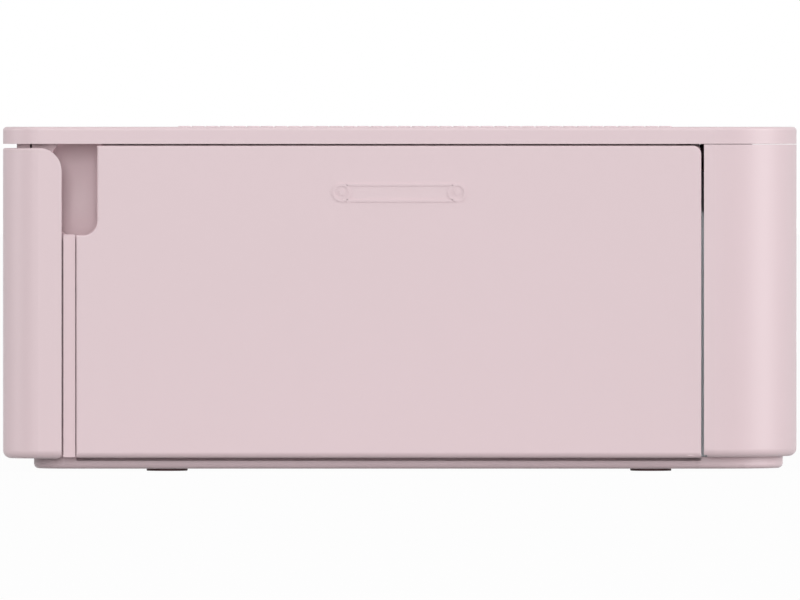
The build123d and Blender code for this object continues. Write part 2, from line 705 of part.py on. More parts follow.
def front_frame():
    """Chassis front behind the cover, with the paper tunnel, card slot and cover hinge lugs."""
    wall = FRAME_WALL
    corner = FRONT_PLAN_RADIUS - COVER_WALL - MOVING_GAP
    ledge_top = FRAME_SHELF + FRAME_LEDGE
    z_span = (FRAME_SHELF, FRAME_TOP)
    frame = plan_slab(FRAME_SIDE, (FRAME_FRONT, REAR), (corner, 0), z_span)
    back = (FRAME_FRONT + wall, REAR)
    frame -= plan_slab(FRAME_SIDE - wall, back, (corner - wall, 0), (ledge_top, FRAME_TOP))
    riser = FRONT + BASE_FRONT_INSET
    frame -= block((LEFT, RIGHT), (STRIP_FRONT - 1.0, REAR), z_span)
    foot_rear = riser + 2 * FRAME_FOOT_WALL
    frame -= block((LEFT, RIGHT), (foot_rear, REAR), (FRAME_SHELF, ledge_top))
    foot_half = RIGHT - BASE_SIDE_INSET - FRAME_FOOT_INSET
    frame += block((-foot_half, foot_half), (foot_rear - FRAME_FOOT_WALL, foot_rear), (FLOOR, ledge_top))
    x_span, hole_z = paper_opening()
    tunnel_y = (FRAME_FRONT, FRAME_FRONT + TUNNEL_DEPTH)
    tunnel_x = (x_span[0] - TUNNEL_WALL, x_span[1] + TUNNEL_WALL)
    frame += block(tunnel_x, (FRAME_FRONT + wall, tunnel_y[1]), (hole_z[0], hole_z[1] + TUNNEL_WALL))
    frame -= block(x_span, tunnel_y, hole_z)
    card_x, card_z = card_slot_centre()
    half_w, half_h = CARD_SLOT_WIDTH / 2, CARD_SLOT_HEIGHT / 2
    frame -= block(
        (card_x - half_w, card_x + half_w),
        (FRAME_FRONT, FRAME_FRONT + wall),
        (card_z - half_h, card_z + half_h),
    )
    frame -= block((RIGHT - 14.0, RIGHT), (FRAME_FRONT + wall + 0.3, REAR), (SCOOP_LOW - 0.3, FRAME_TOP))
    for x in COVER_HINGES:
        lug_x = (x - COVER_LUG_WIDTH / 2, x + COVER_LUG_WIDTH / 2)
        arm_z = (COVER_AXIS_Z - COVER_LUG_RADIUS, COVER_AXIS_Z + COVER_LUG_RADIUS)
        frame += rod_x(COVER_LUG_RADIUS, lug_x, COVER_AXIS_Y, COVER_AXIS_Z)
        frame += block(lug_x, (COVER_AXIS_Y, riser + 3.0), arm_z)
        frame -= rod_x(COVER_PIN_RADIUS + RUNNING_FIT, lug_x, COVER_AXIS_Y, COVER_AXIS_Z)
    return frame


# ---------------------------------------------------------------- ink door and side frame

SCOOP_MID_Y = (WING_END + DOOR_FRONT + NOTCH_WIDTH) / 2
SCOOP_MID_Z = STRIP_TOP + SCOOP_HALF_HEIGHT - 0.6
SCOOP_LOW = SCOOP_MID_Z - SCOOP_HALF_HEIGHT - SCOOP_WALL
LUG_SPANS = [
    (DOOR_LUG_LOW, DOOR_LUG_LOW + DOOR_LUG_HEIGHT),
    (DOOR_TOP - DOOR_LUG_TOP_GAP - DOOR_LUG_HEIGHT, DOOR_TOP - DOOR_LUG_TOP_GAP),
]


def ink_door():
    """Side door: a panel with a finger notch and a round bead along its hinge edge."""
    z_span = (SKIRT_HEIGHT, DOOR_TOP)
    radii = (EDGE_ROUND, DOOR_TOP_ROUND, EDGE_ROUND, DOOR_REAR_ROUND)
    panel = side_profile((DOOR_FRONT, DOOR_REAR), z_span, radii, (DOOR_INNER, RIGHT))
    notch_y = (DOOR_FRONT - 10.0, DOOR_FRONT + NOTCH_WIDTH)
    notch_z = (NOTCH_BOTTOM, DOOR_TOP + 10.0)
    panel -= side_profile(notch_y, notch_z, (0, 0, NOTCH_RADIUS, 0), (DOOR_INNER, RIGHT))
    panel = fillet(panel.faces().sort_by(Axis.X)[-1].edges(), EDGE_ROUND)
    envelope = block((DOOR_INNER - 4.0, RIGHT), (DOOR_FRONT, DOOR_REAR), z_span)
    low_edge = envelope.edges().filter_by(Axis.Y).group_by(Axis.Z)[0].sort_by(Axis.X)[-1]
    panel = panel & fillet(low_edge, DOOR_BOTTOM_ROUND)
    bead_z = (SKIRT_HEIGHT + EDGE_ROUND, DOOR_TOP - EDGE_ROUND)
    panel += rod_z(DOOR_BEAD_RADIUS - DOOR_BEAD_INSET, DOOR_AXIS_X, DOOR_AXIS_Y, bead_z)
    for low, high in LUG_SPANS:
        gap_z = (low - DOOR_LUG_GAP, high + DOOR_LUG_GAP)
        clear = DOOR_LUG_RADIUS + MOVING_GAP
        pocket_x = (DOOR_INNER - 2.0, RIGHT - DOOR_LUG_SKIN)
        panel -= block(pocket_x, (DOOR_AXIS_Y - clear, DOOR_REAR), gap_z)
        pin_z = (low - DOOR_PIN_REACH, high + DOOR_PIN_REACH)
        panel -= rod_z(DOOR_PIN_RADIUS, DOOR_AXIS_X, DOOR_AXIS_Y, pin_z)
    rib_z = (SKIRT_HEIGHT + DOOR_RIB_END, NOTCH_BOTTOM - DOOR_RIB_END)
    for y in (DOOR_FRONT + DOOR_RIB_INSET[0], DOOR_AXIS_Y - DOOR_RIB_INSET[1]):
        panel += block((DOOR_INNER - DOOR_RIB_HEIGHT, DOOR_INNER), (y, y + DOOR_RIB_WIDTH), rib_z)
    return panel


def ink_door_pins():
    """Hinge pins pressed in the door's bead, running in the frame's lugs."""
    pins = []
    for low, high in LUG_SPANS:
        pin_z = (max(low - DOOR_PIN_REACH, SKIRT_HEIGHT + EDGE_ROUND), high + DOOR_PIN_REACH)
        pins.append(rod_z(DOOR_PIN_RADIUS, DOOR_AXIS_X, DOOR_AXIS_Y, pin_z))
    return Compound(children=pins)


def door_catch():
    """Snap tongue behind the door's free edge."""
    tip = SIDE_INNER - CATCH_ROOM
    points = [
        (DOOR_INNER, 0),
        (tip - CATCH_BARB, 0),
        (tip, CATCH_THICKNESS),
        (DOOR_INNER, CATCH_THICKNESS),
    ]
    outline = Pos(0, DOOR_FRONT + CATCH_INSET, CATCH_Z) * Polygon(*points, align=None)
    return extrude(outline, CATCH_WIDTH, dir=(0, 0, 1))


def bay_opening(x_span, clearance):
    """The hole that the ink cassette passes through."""
    return stadium_x(TUBE_RADIUS + clearance, (SUPPLY_Y, TAKE_UP_Y), SPOOL_Z, x_span)


def side_frame():
    """Inner frame behind the ink door: strip, finger scoop, cassette hole, hinge lugs."""
    x_span = (SIDE_INNER, SIDE_OUTER)
    bead_clear = DOOR_BEAD_RADIUS + MOVING_GAP
    z_span = (FLOOR, FRAME_TOP)
    frame = block(x_span, (STRIP_FRONT - 0.7, DOOR_AXIS_Y - bead_clear), z_span)
    frame += block((SIDE_INNER, DOOR_AXIS_X - bead_clear), (0, DOOR_REAR - 0.2), z_span)
    foot_y = (STRIP_FRONT + SIDE_FLANGE_INSET[0], DOOR_AXIS_Y - SIDE_FLANGE_INSET[1])
    frame += block((SIDE_INNER - SIDE_FLANGE, SIDE_INNER), foot_y, (FLOOR, FLOOR + SIDE_FLANGE_HEIGHT))
    frame += side_profile(
        (STRIP_FRONT, STRIP_REAR),
        (SKIRT_HEIGHT + 0.1, STRIP_TOP),
        (0, EDGE_ROUND, 0, EDGE_ROUND),
        (SIDE_INNER, RIGHT - STRIP_SETBACK),
    )
    scoop_y = (FRAME_FRONT + 2.6, SCOOP_MID_Y + SCOOP_HALF_WIDTH + SCOOP_WALL)
    scoop_x = (SIDE_OUTER - SCOOP_DEPTH - SCOOP_WALL, SIDE_OUTER)
    frame += block(scoop_x, scoop_y, (SCOOP_LOW, FRAME_TOP))
    dish = scale(Sphere(1), by=(SCOOP_DEPTH, SCOOP_HALF_WIDTH, SCOOP_HALF_HEIGHT))
    frame -= Pos(SIDE_OUTER, SCOOP_MID_Y, SCOOP_MID_Z) * dish
    frame -= bay_opening(x_span, BAY_CLEARANCE)
    frame -= lever_window(x_span)
    catch_y = DOOR_FRONT + CATCH_INSET
    catch_room = (catch_y - 0.8, catch_y + CATCH_THICKNESS + 1.4)
    frame -= block(x_span, catch_room, (CATCH_Z - CATCH_ROOM, CATCH_Z + CATCH_WIDTH + CATCH_ROOM))
    for low, high in LUG_SPANS:
        arm_y = (DOOR_AXIS_Y - DOOR_LUG_RADIUS + 0.1, DOOR_AXIS_Y + DOOR_LUG_RADIUS - 0.1)
        frame += block((SIDE_INNER, DOOR_AXIS_X), arm_y, (low, high))
        frame += rod_z(DOOR_LUG_RADIUS, DOOR_AXIS_X, DOOR_AXIS_Y, (low, high))
        frame -= rod_z(DOOR_PIN_RADIUS + RUNNING_FIT, DOOR_AXIS_X, DOOR_AXIS_Y, (low, high))
    for low, high in lever_ear_spans():
        ear = block((LEVER_X - 2.0, SIDE_INNER), (low, high), (LEVER_Z - 1.6, LEVER_Z + 2.0))
        frame += ear - rod_y(LEVER_PIN_RADIUS, LEVER_X, (low, high), LEVER_Z)
    return frame


# ---------------------------------------------------------------- cassette release lever

LEVER_PIN_RADIUS = 0.8
LEVER_HUB_RADIUS = 1.6
LEVER_WIDTH = 8.4
LEVER_Y = (TAKE_UP_Y + SUPPLY_Y) / 2 + 1.0
LEVER_X = SIDE_INNER - 0.8
LEVER_Z = SPOOL_Z + TUBE_RADIUS + BAY_CLEARANCE + 2.4
LEVER_HOOK_DROP = 5.6


def lever_ear_spans():
    """Y spans of the two ears that carry the lever's pin."""
    near = LEVER_WIDTH / 2 + MOVING_GAP
    far = near + 2.2
    return [(LEVER_Y - far, LEVER_Y - near), (LEVER_Y + near, LEVER_Y + far)]


def lever_window(x_span):
    """The window in the side plate that the lever works in."""
    half = LEVER_WIDTH / 2 + MOVING_GAP
    return block(x_span, (LEVER_Y - half, LEVER_Y + half), (LEVER_Z - 6.0, LEVER_Z + 2.6))


def release_lever():
    """Lever with a finger tab outside and a hook in front of the cassette."""
    y_span = (LEVER_Y - LEVER_WIDTH / 2, LEVER_Y + LEVER_WIDTH / 2)
    hook_x = (CASSETTE_RIGHT + 0.4, CASSETTE_RIGHT + 1.6)
    lever = rod_y(LEVER_HUB_RADIUS, LEVER_X, y_span, LEVER_Z)
    lever += block((LEVER_X, hook_x[1]), y_span, (LEVER_Z - 0.4, LEVER_Z + 0.9))
    lever += block(hook_x, y_span, (LEVER_Z - LEVER_HOOK_DROP, LEVER_Z + 0.9))
    lever += block((hook_x[0], SIDE_OUTER), y_span, (LEVER_Z - 0.4, LEVER_Z + 0.9))
    return lever - rod_y(LEVER_PIN_RADIUS + RUNNING_FIT, LEVER_X, y_span, LEVER_Z)


def lever_pin():
    """Pin held in the side frame's ears."""
    spans = lever_ear_spans()
    return rod_y(LEVER_PIN_RADIUS, LEVER_X, (spans[0][0], spans[1][1]), LEVER_Z)


# ---------------------------------------------------------------- gears


def mesh_distance(teeth_a, teeth_b):
    """Centre distance of two gears in mesh."""
    return MODULE * (teeth_a + teeth_b) / 2


def mesh_phase(teeth_a, phase_a, centre_a, teeth_b, centre_b):
    """Angle of a tooth of gear b, in radians, when gear a has a tooth at phase_a."""
    line = math.atan2(centre_b[1] - centre_a[1], centre_b[0] - centre_a[0])
    half_pitch = math.pi * MODULE / 2
    radius_a, radius_b = MODULE * teeth_a / 2, MODULE * teeth_b / 2
    return line + math.pi - (radius_a * (phase_a - line) + half_pitch) / radius_b


def along(start, distance, degrees):
    """The point at a distance and angle from start, in the (y, z) plane."""
    angle = math.radians(degrees)
    return start[0] + distance * math.cos(angle), start[1] + distance * math.sin(angle)


def crossing(centre_a, radius_a, centre_b, radius_b):
    """The lower of the two points where two circles cross, in the (y, z) plane."""
    dy, dz = centre_b[0] - centre_a[0], centre_b[1] - centre_a[1]
    gap = math.hypot(dy, dz)
    near = (radius_a**2 - radius_b**2 + gap**2) / (2 * gap)
    off = math.sqrt(radius_a**2 - near**2)
    uy, uz = dy / gap, dz / gap
    points = [
        (centre_a[0] + near * uy - side * off * uz, centre_a[1] + near * uz + side * off * uy)
        for side in (-1, 1)
    ]
    return min(points, key=lambda point: point[1])


def involute(angle):
    """Involute function of an angle in radians."""
    return math.tan(angle) - angle


def tooth_half_angle(radius, teeth):
    """Half the angle that a tooth fills at a radius."""
    pitch_radius = MODULE * teeth / 2
    base_radius = pitch_radius * math.cos(math.radians(PRESSURE_ANGLE))
    at_pitch = math.pi / (2 * teeth) - BACKLASH / (4 * pitch_radius)
    roll = math.acos(min(1.0, base_radius / radius))
    return at_pitch + involute(math.radians(PRESSURE_ANGLE)) - involute(roll)


def spur_gear(teeth, phase, centre, x_span, bore):
    """A spur gear along X with involute flanks and a round bore."""
    pitch_radius = MODULE * teeth / 2
    base_radius = pitch_radius * math.cos(math.radians(PRESSURE_ANGLE))
    root, tip = pitch_radius - 1.25 * MODULE, pitch_radius + 0.95 * MODULE
    low = max(root + 0.15 * MODULE, base_radius)
    radii = [low, (low + pitch_radius) / 2, pitch_radius, (pitch_radius + tip) / 2, tip]
    outline = []
    for index in range(teeth):
        middle = phase + index * 2 * math.pi / teeth
        halves = [tooth_half_angle(radius, teeth) for radius in radii]
        flank = [(root, -halves[0])] + [(r, -h) for r, h in zip(radii, halves)]
        flank += [(r, h) for r, h in reversed(list(zip(radii, halves)))] + [(root, halves[0])]
        outline += [(r * math.cos(middle + a), r * math.sin(middle + a)) for r, a in flank]
    plane = Plane(origin=(x_span[0], *centre), x_dir=(0, 1, 0), z_dir=(1, 0, 0))
    face = plane * Polygon(*outline, align=None)
    return extrude(face, x_span[1] - x_span[0], dir=(1, 0, 0)) - rod_x(bore, x_span, *centre)


GEAR_SPAN = (GEAR_LOW, GEAR_HIGH)
FEED_AT = (FEED_OFFSET, FEED_Z)
PICKUP_AT = (PICKUP_OFFSET, PICKUP_Z)
TAKE_UP_AT = (TAKE_UP_Y, SPOOL_Z)
FEED_PINION_AT = along(FEED_AT, mesh_distance(PINION_TEETH, FEED_TEETH), -5.0)
RIBBON_PINION_AT = along(TAKE_UP_AT, mesh_distance(PINION_TEETH, TAKE_UP_TEETH), 20.0)
REAR_IDLER_AT = along(FEED_AT, mesh_distance(FEED_TEETH, IDLER_TEETH), 170.0)
FRONT_IDLER_AT = crossing(
    REAR_IDLER_AT,
    mesh_distance(IDLER_TEETH, IDLER_TEETH),
    PICKUP_AT,
    mesh_distance(IDLER_TEETH, PICKUP_TEETH),
)
FEED_PHASE = mesh_phase(PINION_TEETH, 0.0, FEED_PINION_AT, FEED_TEETH, FEED_AT)
REAR_IDLER_PHASE = mesh_phase(FEED_TEETH, FEED_PHASE, FEED_AT, IDLER_TEETH, REAR_IDLER_AT)
FRONT_IDLER_PHASE = mesh_phase(
    IDLER_TEETH, REAR_IDLER_PHASE, REAR_IDLER_AT, IDLER_TEETH, FRONT_IDLER_AT
)
PICKUP_PHASE = mesh_phase(IDLER_TEETH, FRONT_IDLER_PHASE, FRONT_IDLER_AT, PICKUP_TEETH, PICKUP_AT)
TAKE_UP_PHASE = mesh_phase(PINION_TEETH, 0.0, RIBBON_PINION_AT, TAKE_UP_TEETH, TAKE_UP_AT)


def feed_pinion():
    """Pinion and shaft of the feed motor."""
    gear = spur_gear(PINION_TEETH, 0.0, FEED_PINION_AT, GEAR_SPAN, MOTOR_SHAFT)
    return gear + rod_x(MOTOR_SHAFT, (GEARBOX - ENGINE_PLATE - 3.0, GEAR_HIGH), *FEED_PINION_AT)


def ribbon_pinion():
    """Pinion and shaft of the ribbon motor."""
    gear = spur_gear(PINION_TEETH, 0.0, RIBBON_PINION_AT, GEAR_SPAN, MOTOR_SHAFT)
    return gear + rod_x(MOTOR_SHAFT, (GEARBOX - ENGINE_PLATE - 3.0, GEAR_HIGH), *RIBBON_PINION_AT)


def idler_gear(phase, centre):
    """Idler that turns freely on a fixed axle."""
    return spur_gear(IDLER_TEETH, phase, centre, GEAR_SPAN, GEAR_BORE + RUNNING_FIT)


def gear_axles():
    """Fixed axles of the idlers, between the gearbox plate and the engine plate."""
    spots = (REAR_IDLER_AT, FRONT_IDLER_AT)
    return Compound(children=[rod_x(GEAR_BORE, (GEARBOX, PLATE_LEFT), *spot) for spot in spots])


def motor(radius, centre):
    """Round motor on the gearbox plate, with a clearance bore for its shaft."""
    face = GEARBOX - ENGINE_PLATE
    body = rod_x(radius, (face - MOTOR_LENGTH, face), *centre)
    body = fillet(body.faces().sort_by(Axis.X)[0].edges(), 1.0)
    boss_span = (face - MOTOR_LENGTH - MOTOR_BOSS_HEIGHT, face - MOTOR_LENGTH)
    body += rod_x(radius * 0.35, boss_span, *centre)
    return body - rod_x(MOTOR_SHAFT + RUNNING_FIT, (face - MOTOR_BORE_DEPTH, face), *centre)


# ---------------------------------------------------------------- engine frame


def engine_outline(x_span):
    """Side plate outline with chamfered upper corners."""
    points = [
        (ENGINE_FRONT, FLOOR),
        (ENGINE_REAR, FLOOR),
        (ENGINE_REAR, ENGINE_TOP - 8.0),
        (ENGINE_REAR - 8.0, ENGINE_TOP),
        (ENGINE_FRONT + 6.0, ENGINE_TOP),
        (ENGINE_FRONT, ENGINE_TOP - 6.0),
    ]
    return section_x(points, x_span)


def bearing_holes(plate, x_span):
    """Bore a plate for the rollers and the head arm's shaft."""
    plate -= rod_x(PLATEN_CORE + RUNNING_FIT, x_span, 0, PLATEN_Z)
    plate -= rod_x(FEED_SHAFT + RUNNING_FIT, x_span, *FEED_AT)
    plate -= rod_x(PICKUP_SHAFT + RUNNING_FIT, x_span, *PICKUP_AT)
    plate -= rod_x(ARM_SHAFT_RADIUS, x_span, ARM_PIVOT_Y, ARM_PIVOT_Z)
    return plate


def engine_plate_left():
    """Steel plate at the gear end of the rollers."""
    x_span = (PLATE_LEFT, PLATE_LEFT + ENGINE_PLATE)
    plate = bearing_holes(engine_outline(x_span), x_span)
    return plate - rod_x(HUB_RADIUS + RUNNING_FIT, x_span, *TAKE_UP_AT)


def engine_plate_right():
    """Steel plate at the door end, with the hole that the cassette passes through."""
    x_span = (PLATE_RIGHT, PLATE_RIGHT + ENGINE_PLATE)
    plate = bearing_holes(engine_outline(x_span), x_span)
    return plate - bay_opening(x_span, BAY_CLEARANCE)


def tie_plate():
    """Folded sheet that ties the two side plates at the back."""
    x_span = (PLATE_LEFT + ENGINE_PLATE, PLATE_RIGHT)
    top = ARM_SHEET_Z + ARM_SHEET
    sheet = block(x_span, (TAKE_UP_Y - 8.0, TIE_FOLD_Y + ENGINE_PLATE), (ARM_SHEET_Z, top))
    fold = block(x_span, (TIE_FOLD_Y, TIE_FOLD_Y + ENGINE_PLATE), (PAPER_OPENING_TOP, top))
    return sheet + fold


def gearbox_plate():
    """Plate that carries the motors and the outer ends of the gear axles."""
    x_span = (GEARBOX - ENGINE_PLATE, GEARBOX)
    points = [
        (PICKUP_OFFSET - 10.0, FLOOR),
        (ENGINE_REAR + 6.0, FLOOR),
        (ENGINE_REAR + 6.0, ENGINE_TOP),
        (TAKE_UP_Y - 16.0, ENGINE_TOP),
        (TAKE_UP_Y - 20.0, PICKUP_Z + 16.0),
        (PICKUP_OFFSET - 10.0, PICKUP_Z + 12.0),
    ]
    plate = section_x(points, x_span)
    for centre in (FEED_PINION_AT, RIBBON_PINION_AT):
        plate -= rod_x(MOTOR_SHAFT + RUNNING_FIT, x_span, *centre)
    for centre, shaft in ((FEED_AT, FEED_SHAFT), (PICKUP_AT, PICKUP_SHAFT), (TAKE_UP_AT, HUB_RADIUS)):
        plate -= rod_x(shaft + RUNNING_FIT, x_span, *centre)
    return plate


# ---------------------------------------------------------------- rollers

ROLLER_SPAN = (ENGINE_MID - PAPER_WIDTH / 2, ENGINE_MID + PAPER_WIDTH / 2)
SHAFT_SPAN = (PLATE_LEFT, PLATE_RIGHT + ENGINE_PLATE)
DRIVEN_SPAN = (GEARBOX - ENGINE_PLATE, PLATE_RIGHT + ENGINE_PLATE)
HUB_RADIUS = 3.0


def sleeve_x(outer, inner, x_span, y, z):
    """A tube along X."""
    return rod_x(outer, x_span, y, z) - rod_x(inner, x_span, y, z)


def platen_roller():
    """Rubber sleeve under the thermal head."""
    return sleeve_x(PLATEN_RADIUS, PLATEN_CORE, ROLLER_SPAN, 0, PLATEN_Z)


def platen_shaft():
    """Steel core of the platen."""
    return rod_x(PLATEN_CORE, SHAFT_SPAN, 0, PLATEN_Z)


def feed_roller():
    """Gritted steel roller that moves the paper."""
    return rod_x(FEED_RADIUS, ROLLER_SPAN, *FEED_AT) + rod_x(FEED_SHAFT, DRIVEN_SPAN, *FEED_AT)


def feed_gear():
    """Gear on the feed roller's shaft."""
    return spur_gear(FEED_TEETH, FEED_PHASE, FEED_AT, GEAR_SPAN, FEED_SHAFT)


def pickup_shaft():
    """Shaft that carries the pick-up tyres."""
    return rod_x(PICKUP_SHAFT, DRIVEN_SPAN, *PICKUP_AT)


def pickup_tyres():
    """Two rubber tyres that pull the top sheet from the cassette."""
    tyres = []
    for x in (ENGINE_MID - TYRE_SPACING / 2, ENGINE_MID + TYRE_SPACING / 2):
        span = (x - TYRE_WIDTH / 2, x + TYRE_WIDTH / 2)
        tyres.append(sleeve_x(PICKUP_RADIUS, PICKUP_SHAFT, span, *PICKUP_AT))
    return Compound(children=tyres)


def pickup_gear():
    """Gear on the pick-up shaft."""
    return spur_gear(PICKUP_TEETH, PICKUP_PHASE, PICKUP_AT, GEAR_SPAN, PICKUP_SHAFT)


# ---------------------------------------------------------------- head arm

HEAD_SPAN = (ROLLER_SPAN[0] - 1.0, ROLLER_SPAN[1] + 1.0)
ARM_SPAN = (HEAD_SPAN[0] - 3.5, HEAD_SPAN[1] + 3.5)
HEAD_TOP = ARM_SHEET_Z
HEAD_MID = SPOOL_Z - 4.8


def head_arm():
    """Pressed arm over the front spool, with brackets for the pinch roller."""
    boss = rod_x(ARM_BOSS_RADIUS, ARM_SPAN, ARM_PIVOT_Y, ARM_PIVOT_Z)
    sheet_z = (ARM_SHEET_Z, ARM_SHEET_Z + ARM_SHEET)
    arm = boss + block(ARM_SPAN, (ARM_PIVOT_Y - ARM_BOSS_RADIUS, FEED_OFFSET + PINCH_BOSS_RADIUS), sheet_z)
    riser_y = (ARM_PIVOT_Y - ARM_BOSS_RADIUS, ARM_PIVOT_Y - ARM_BOSS_RADIUS + ARM_SHEET)
    arm += block(ARM_SPAN, riser_y, (ARM_PIVOT_Z, sheet_z[1]))
    for x_span in ((ARM_SPAN[0], ARM_SPAN[0] + ARM_CHEEK), (ARM_SPAN[1] - ARM_CHEEK, ARM_SPAN[1])):
        cheek_y = (FEED_OFFSET - PINCH_BOSS_RADIUS, FEED_OFFSET + PINCH_BOSS_RADIUS)
        arm += block(x_span, cheek_y, (PINCH_Z, sheet_z[0]))
        arm += rod_x(PINCH_BOSS_RADIUS, x_span, FEED_OFFSET, PINCH_Z)
        arm -= rod_x(PINCH_SHAFT + RUNNING_FIT, x_span, FEED_OFFSET, PINCH_Z)
    return arm - rod_x(ARM_SHAFT_RADIUS + RUNNING_FIT, ARM_SPAN, ARM_PIVOT_Y, ARM_PIVOT_Z)


def head_pivot_shaft():
    """Shaft between the side plates that the head arm swings on."""
    return rod_x(ARM_SHAFT_RADIUS, SHAFT_SPAN, ARM_PIVOT_Y, ARM_PIVOT_Z)


def heat_sink():
    """Finned aluminium block on the arm."""
    sink = block(HEAD_SPAN, SINK_Y, (HEAD_MID, HEAD_TOP))
    for y in SINK_SLOTS:
        sink -= block(HEAD_SPAN, (y, y + SINK_SLOT_WIDTH), (HEAD_MID + SINK_FLOOR, HEAD_TOP - SINK_ROOF))
    return sink


def thermal_head():
    """Wedge-shaped carrier with the heating line at its lower edge."""
    nose = HEAD_NOSE_WIDTH / 2
    low = PATH_Z + HEAD_GAP
    front, rear = HEAD_SHOULDERS
    heel = (HEAD_HEEL[0], low + HEAD_HEEL[1])
    points = [(front, HEAD_MID), (-nose, low), (nose, low), heel, (rear, HEAD_MID)]
    return section_x(points, HEAD_SPAN)


def pinch_roller():
    """Free roller carried by the arm, above the feed roller."""
    body = rod_x(PINCH_RADIUS, (ROLLER_SPAN[0], ROLLER_SPAN[1]), FEED_OFFSET, PINCH_Z)
    return body + rod_x(PINCH_SHAFT, ARM_SPAN, FEED_OFFSET, PINCH_Z)


# ---------------------------------------------------------------- ink cassette

TUBE_SPAN = (CASSETTE_LEFT, CASSETTE_RIGHT)
SPOOL_SPAN = (CASSETTE_LEFT + CAP + CAP_GAP, CASSETTE_RIGHT - CAP - CAP_GAP)
NOSE_FILM = (HEAD_NOSE_WIDTH / 2 + 0.2, PATH_Z + 0.2)
PEEL_AT = (NOSE_FILM[0] + 5.4, NOSE_FILM[1] + 6.7)
SUPPLY_AT = (SUPPLY_Y, SPOOL_Z)


def tangent_angle(point, centre, radius, side):
    """Angle on a roll, in degrees, where a line from the point touches it."""
    dy, dz = point[0] - centre[0], point[1] - centre[1]
    spread = math.degrees(math.acos(radius / math.hypot(dy, dz)))
    return math.degrees(math.atan2(dz, dy)) + side * spread


SUPPLY_TANGENT = tangent_angle((-NOSE_FILM[0], NOSE_FILM[1]), SUPPLY_AT, SUPPLY_ROLL, 1)
TAKE_UP_TANGENT = tangent_angle(PEEL_AT, TAKE_UP_AT, TAKE_UP_ROLL, -1)


def slit_angle(tangent, roll_radius, side):
    """Angle where the film leaves the tube wall."""
    return tangent + side * math.degrees(math.acos(roll_radius / TUBE_RADIUS))


SUPPLY_SLIT = slit_angle(SUPPLY_TANGENT, SUPPLY_ROLL, -1)
TAKE_UP_SLIT = slit_angle(TAKE_UP_TANGENT, TAKE_UP_ROLL, 1)


def slit_cutter(centre, degrees):
    """Wedge that opens a tube where the film passes."""
    reach = TUBE_RADIUS + 2.0
    edges = [along(centre, reach, degrees + swing) for swing in (-SLIT_HALF_ANGLE, SLIT_HALF_ANGLE)]
    return section_x([centre, *edges], (TUBE_SPAN[0] + CAP, TUBE_SPAN[1] - CAP))


def cassette_tube(centre, degrees):
    """One spool chamber with end caps and a film slit."""
    inner = (TUBE_SPAN[0] + CAP, TUBE_SPAN[1] - CAP)
    tube = rod_x(TUBE_RADIUS, TUBE_SPAN, *centre) - rod_x(TUBE_RADIUS - TUBE_WALL, inner, *centre)
    tube -= slit_cutter(centre, degrees)
    return tube - rod_x(JOURNAL_RADIUS + RUNNING_FIT, TUBE_SPAN, *centre)


def cassette_shell():
    """Two spool chambers joined by a bridge at the door end and a bar at the inner end."""
    shell = cassette_tube(SUPPLY_AT, SUPPLY_SLIT) + cassette_tube(TAKE_UP_AT, TAKE_UP_SLIT)
    bridge_x = (CASSETTE_RIGHT - BRIDGE_THICKNESS, CASSETTE_RIGHT)
    inner_edge = TUBE_RADIUS - 1.0
    bridge_y = (SUPPLY_Y + inner_edge, TAKE_UP_Y - inner_edge)
    bridge_z = (SPOOL_Z - BRIDGE_RISE[0], SPOOL_Z + BRIDGE_RISE[1])
    shell += block(bridge_x, bridge_y, bridge_z)
    mid = (SUPPLY_Y + TAKE_UP_Y) / 2
    grip_y = (mid - GRIP_HALF_WIDTH, mid + GRIP_HALF_WIDTH)
    shell += block(bridge_x, grip_y, (bridge_z[1], LEVER_Z - 4.2))
    bar_x = (CASSETTE_LEFT, CASSETTE_LEFT + CAP)
    bar_z = (SPOOL_Z - TUBE_RADIUS - 1.0, SPOOL_Z - TUBE_RADIUS + 1.4)
    shell += block(bar_x, (SUPPLY_Y, TAKE_UP_Y), bar_z)
    grip_x = (CASSETTE_RIGHT, SIDE_OUTER - 0.2)
    shell += block(grip_x, grip_y, (SPOOL_Z - 2.0, SPOOL_Z + 1.0))
    shell += block(bar_x, (PEEL_AT[0] - 1.0, PEEL_AT[0] + 1.0), (bar_z[0], PEEL_AT[1] + 1.0))
    peel = along(PEEL_AT, PEEL_BAR_RADIUS + FILM_THICKNESS / 2 + 0.1, -60.0)
    shell += rod_x(PEEL_BAR_RADIUS, (bar_x[0], bridge_x[0]), *peel)
    shell += block(bridge_x, (peel[0] - 1.0, peel[0] + 1.0), (peel[1] - 1.0, bridge_z[0] + 1.0))
    return shell


def spool(centre, roll_radius):
    """A spool core with its wound film and end journals."""
    film_half = FILM_WIDTH / 2
    wound = rod_x(roll_radius, (ENGINE_MID - film_half, ENGINE_MID + film_half), *centre)
    core = rod_x(JOURNAL_RADIUS, TUBE_SPAN, *centre)
    flange = roll_radius + SPOOL_FLANGE_LIP
    for x in (ENGINE_MID - film_half - SPOOL_FLANGE_WIDTH, ENGINE_MID + film_half):
        core += rod_x(flange, (x, x + SPOOL_FLANGE_WIDTH), *centre)
    return wound + core


def supply_spool():
    """Spool of unused film, nearer the front."""
    return spool(SUPPLY_AT, SUPPLY_ROLL - FILM_THICKNESS)


def take_up_spool():
    """Spool of used film, driven by the ribbon motor."""
    return spool(TAKE_UP_AT, TAKE_UP_ROLL - FILM_THICKNESS)


def take_up_gear():
    """Drive gear and hub that turn the take-up spool."""
    gear = spur_gear(TAKE_UP_TEETH, TAKE_UP_PHASE, TAKE_UP_AT, GEAR_SPAN, HUB_RADIUS)
    return gear + rod_x(HUB_RADIUS, (GEARBOX - ENGINE_PLATE, CASSETTE_LEFT), *TAKE_UP_AT)


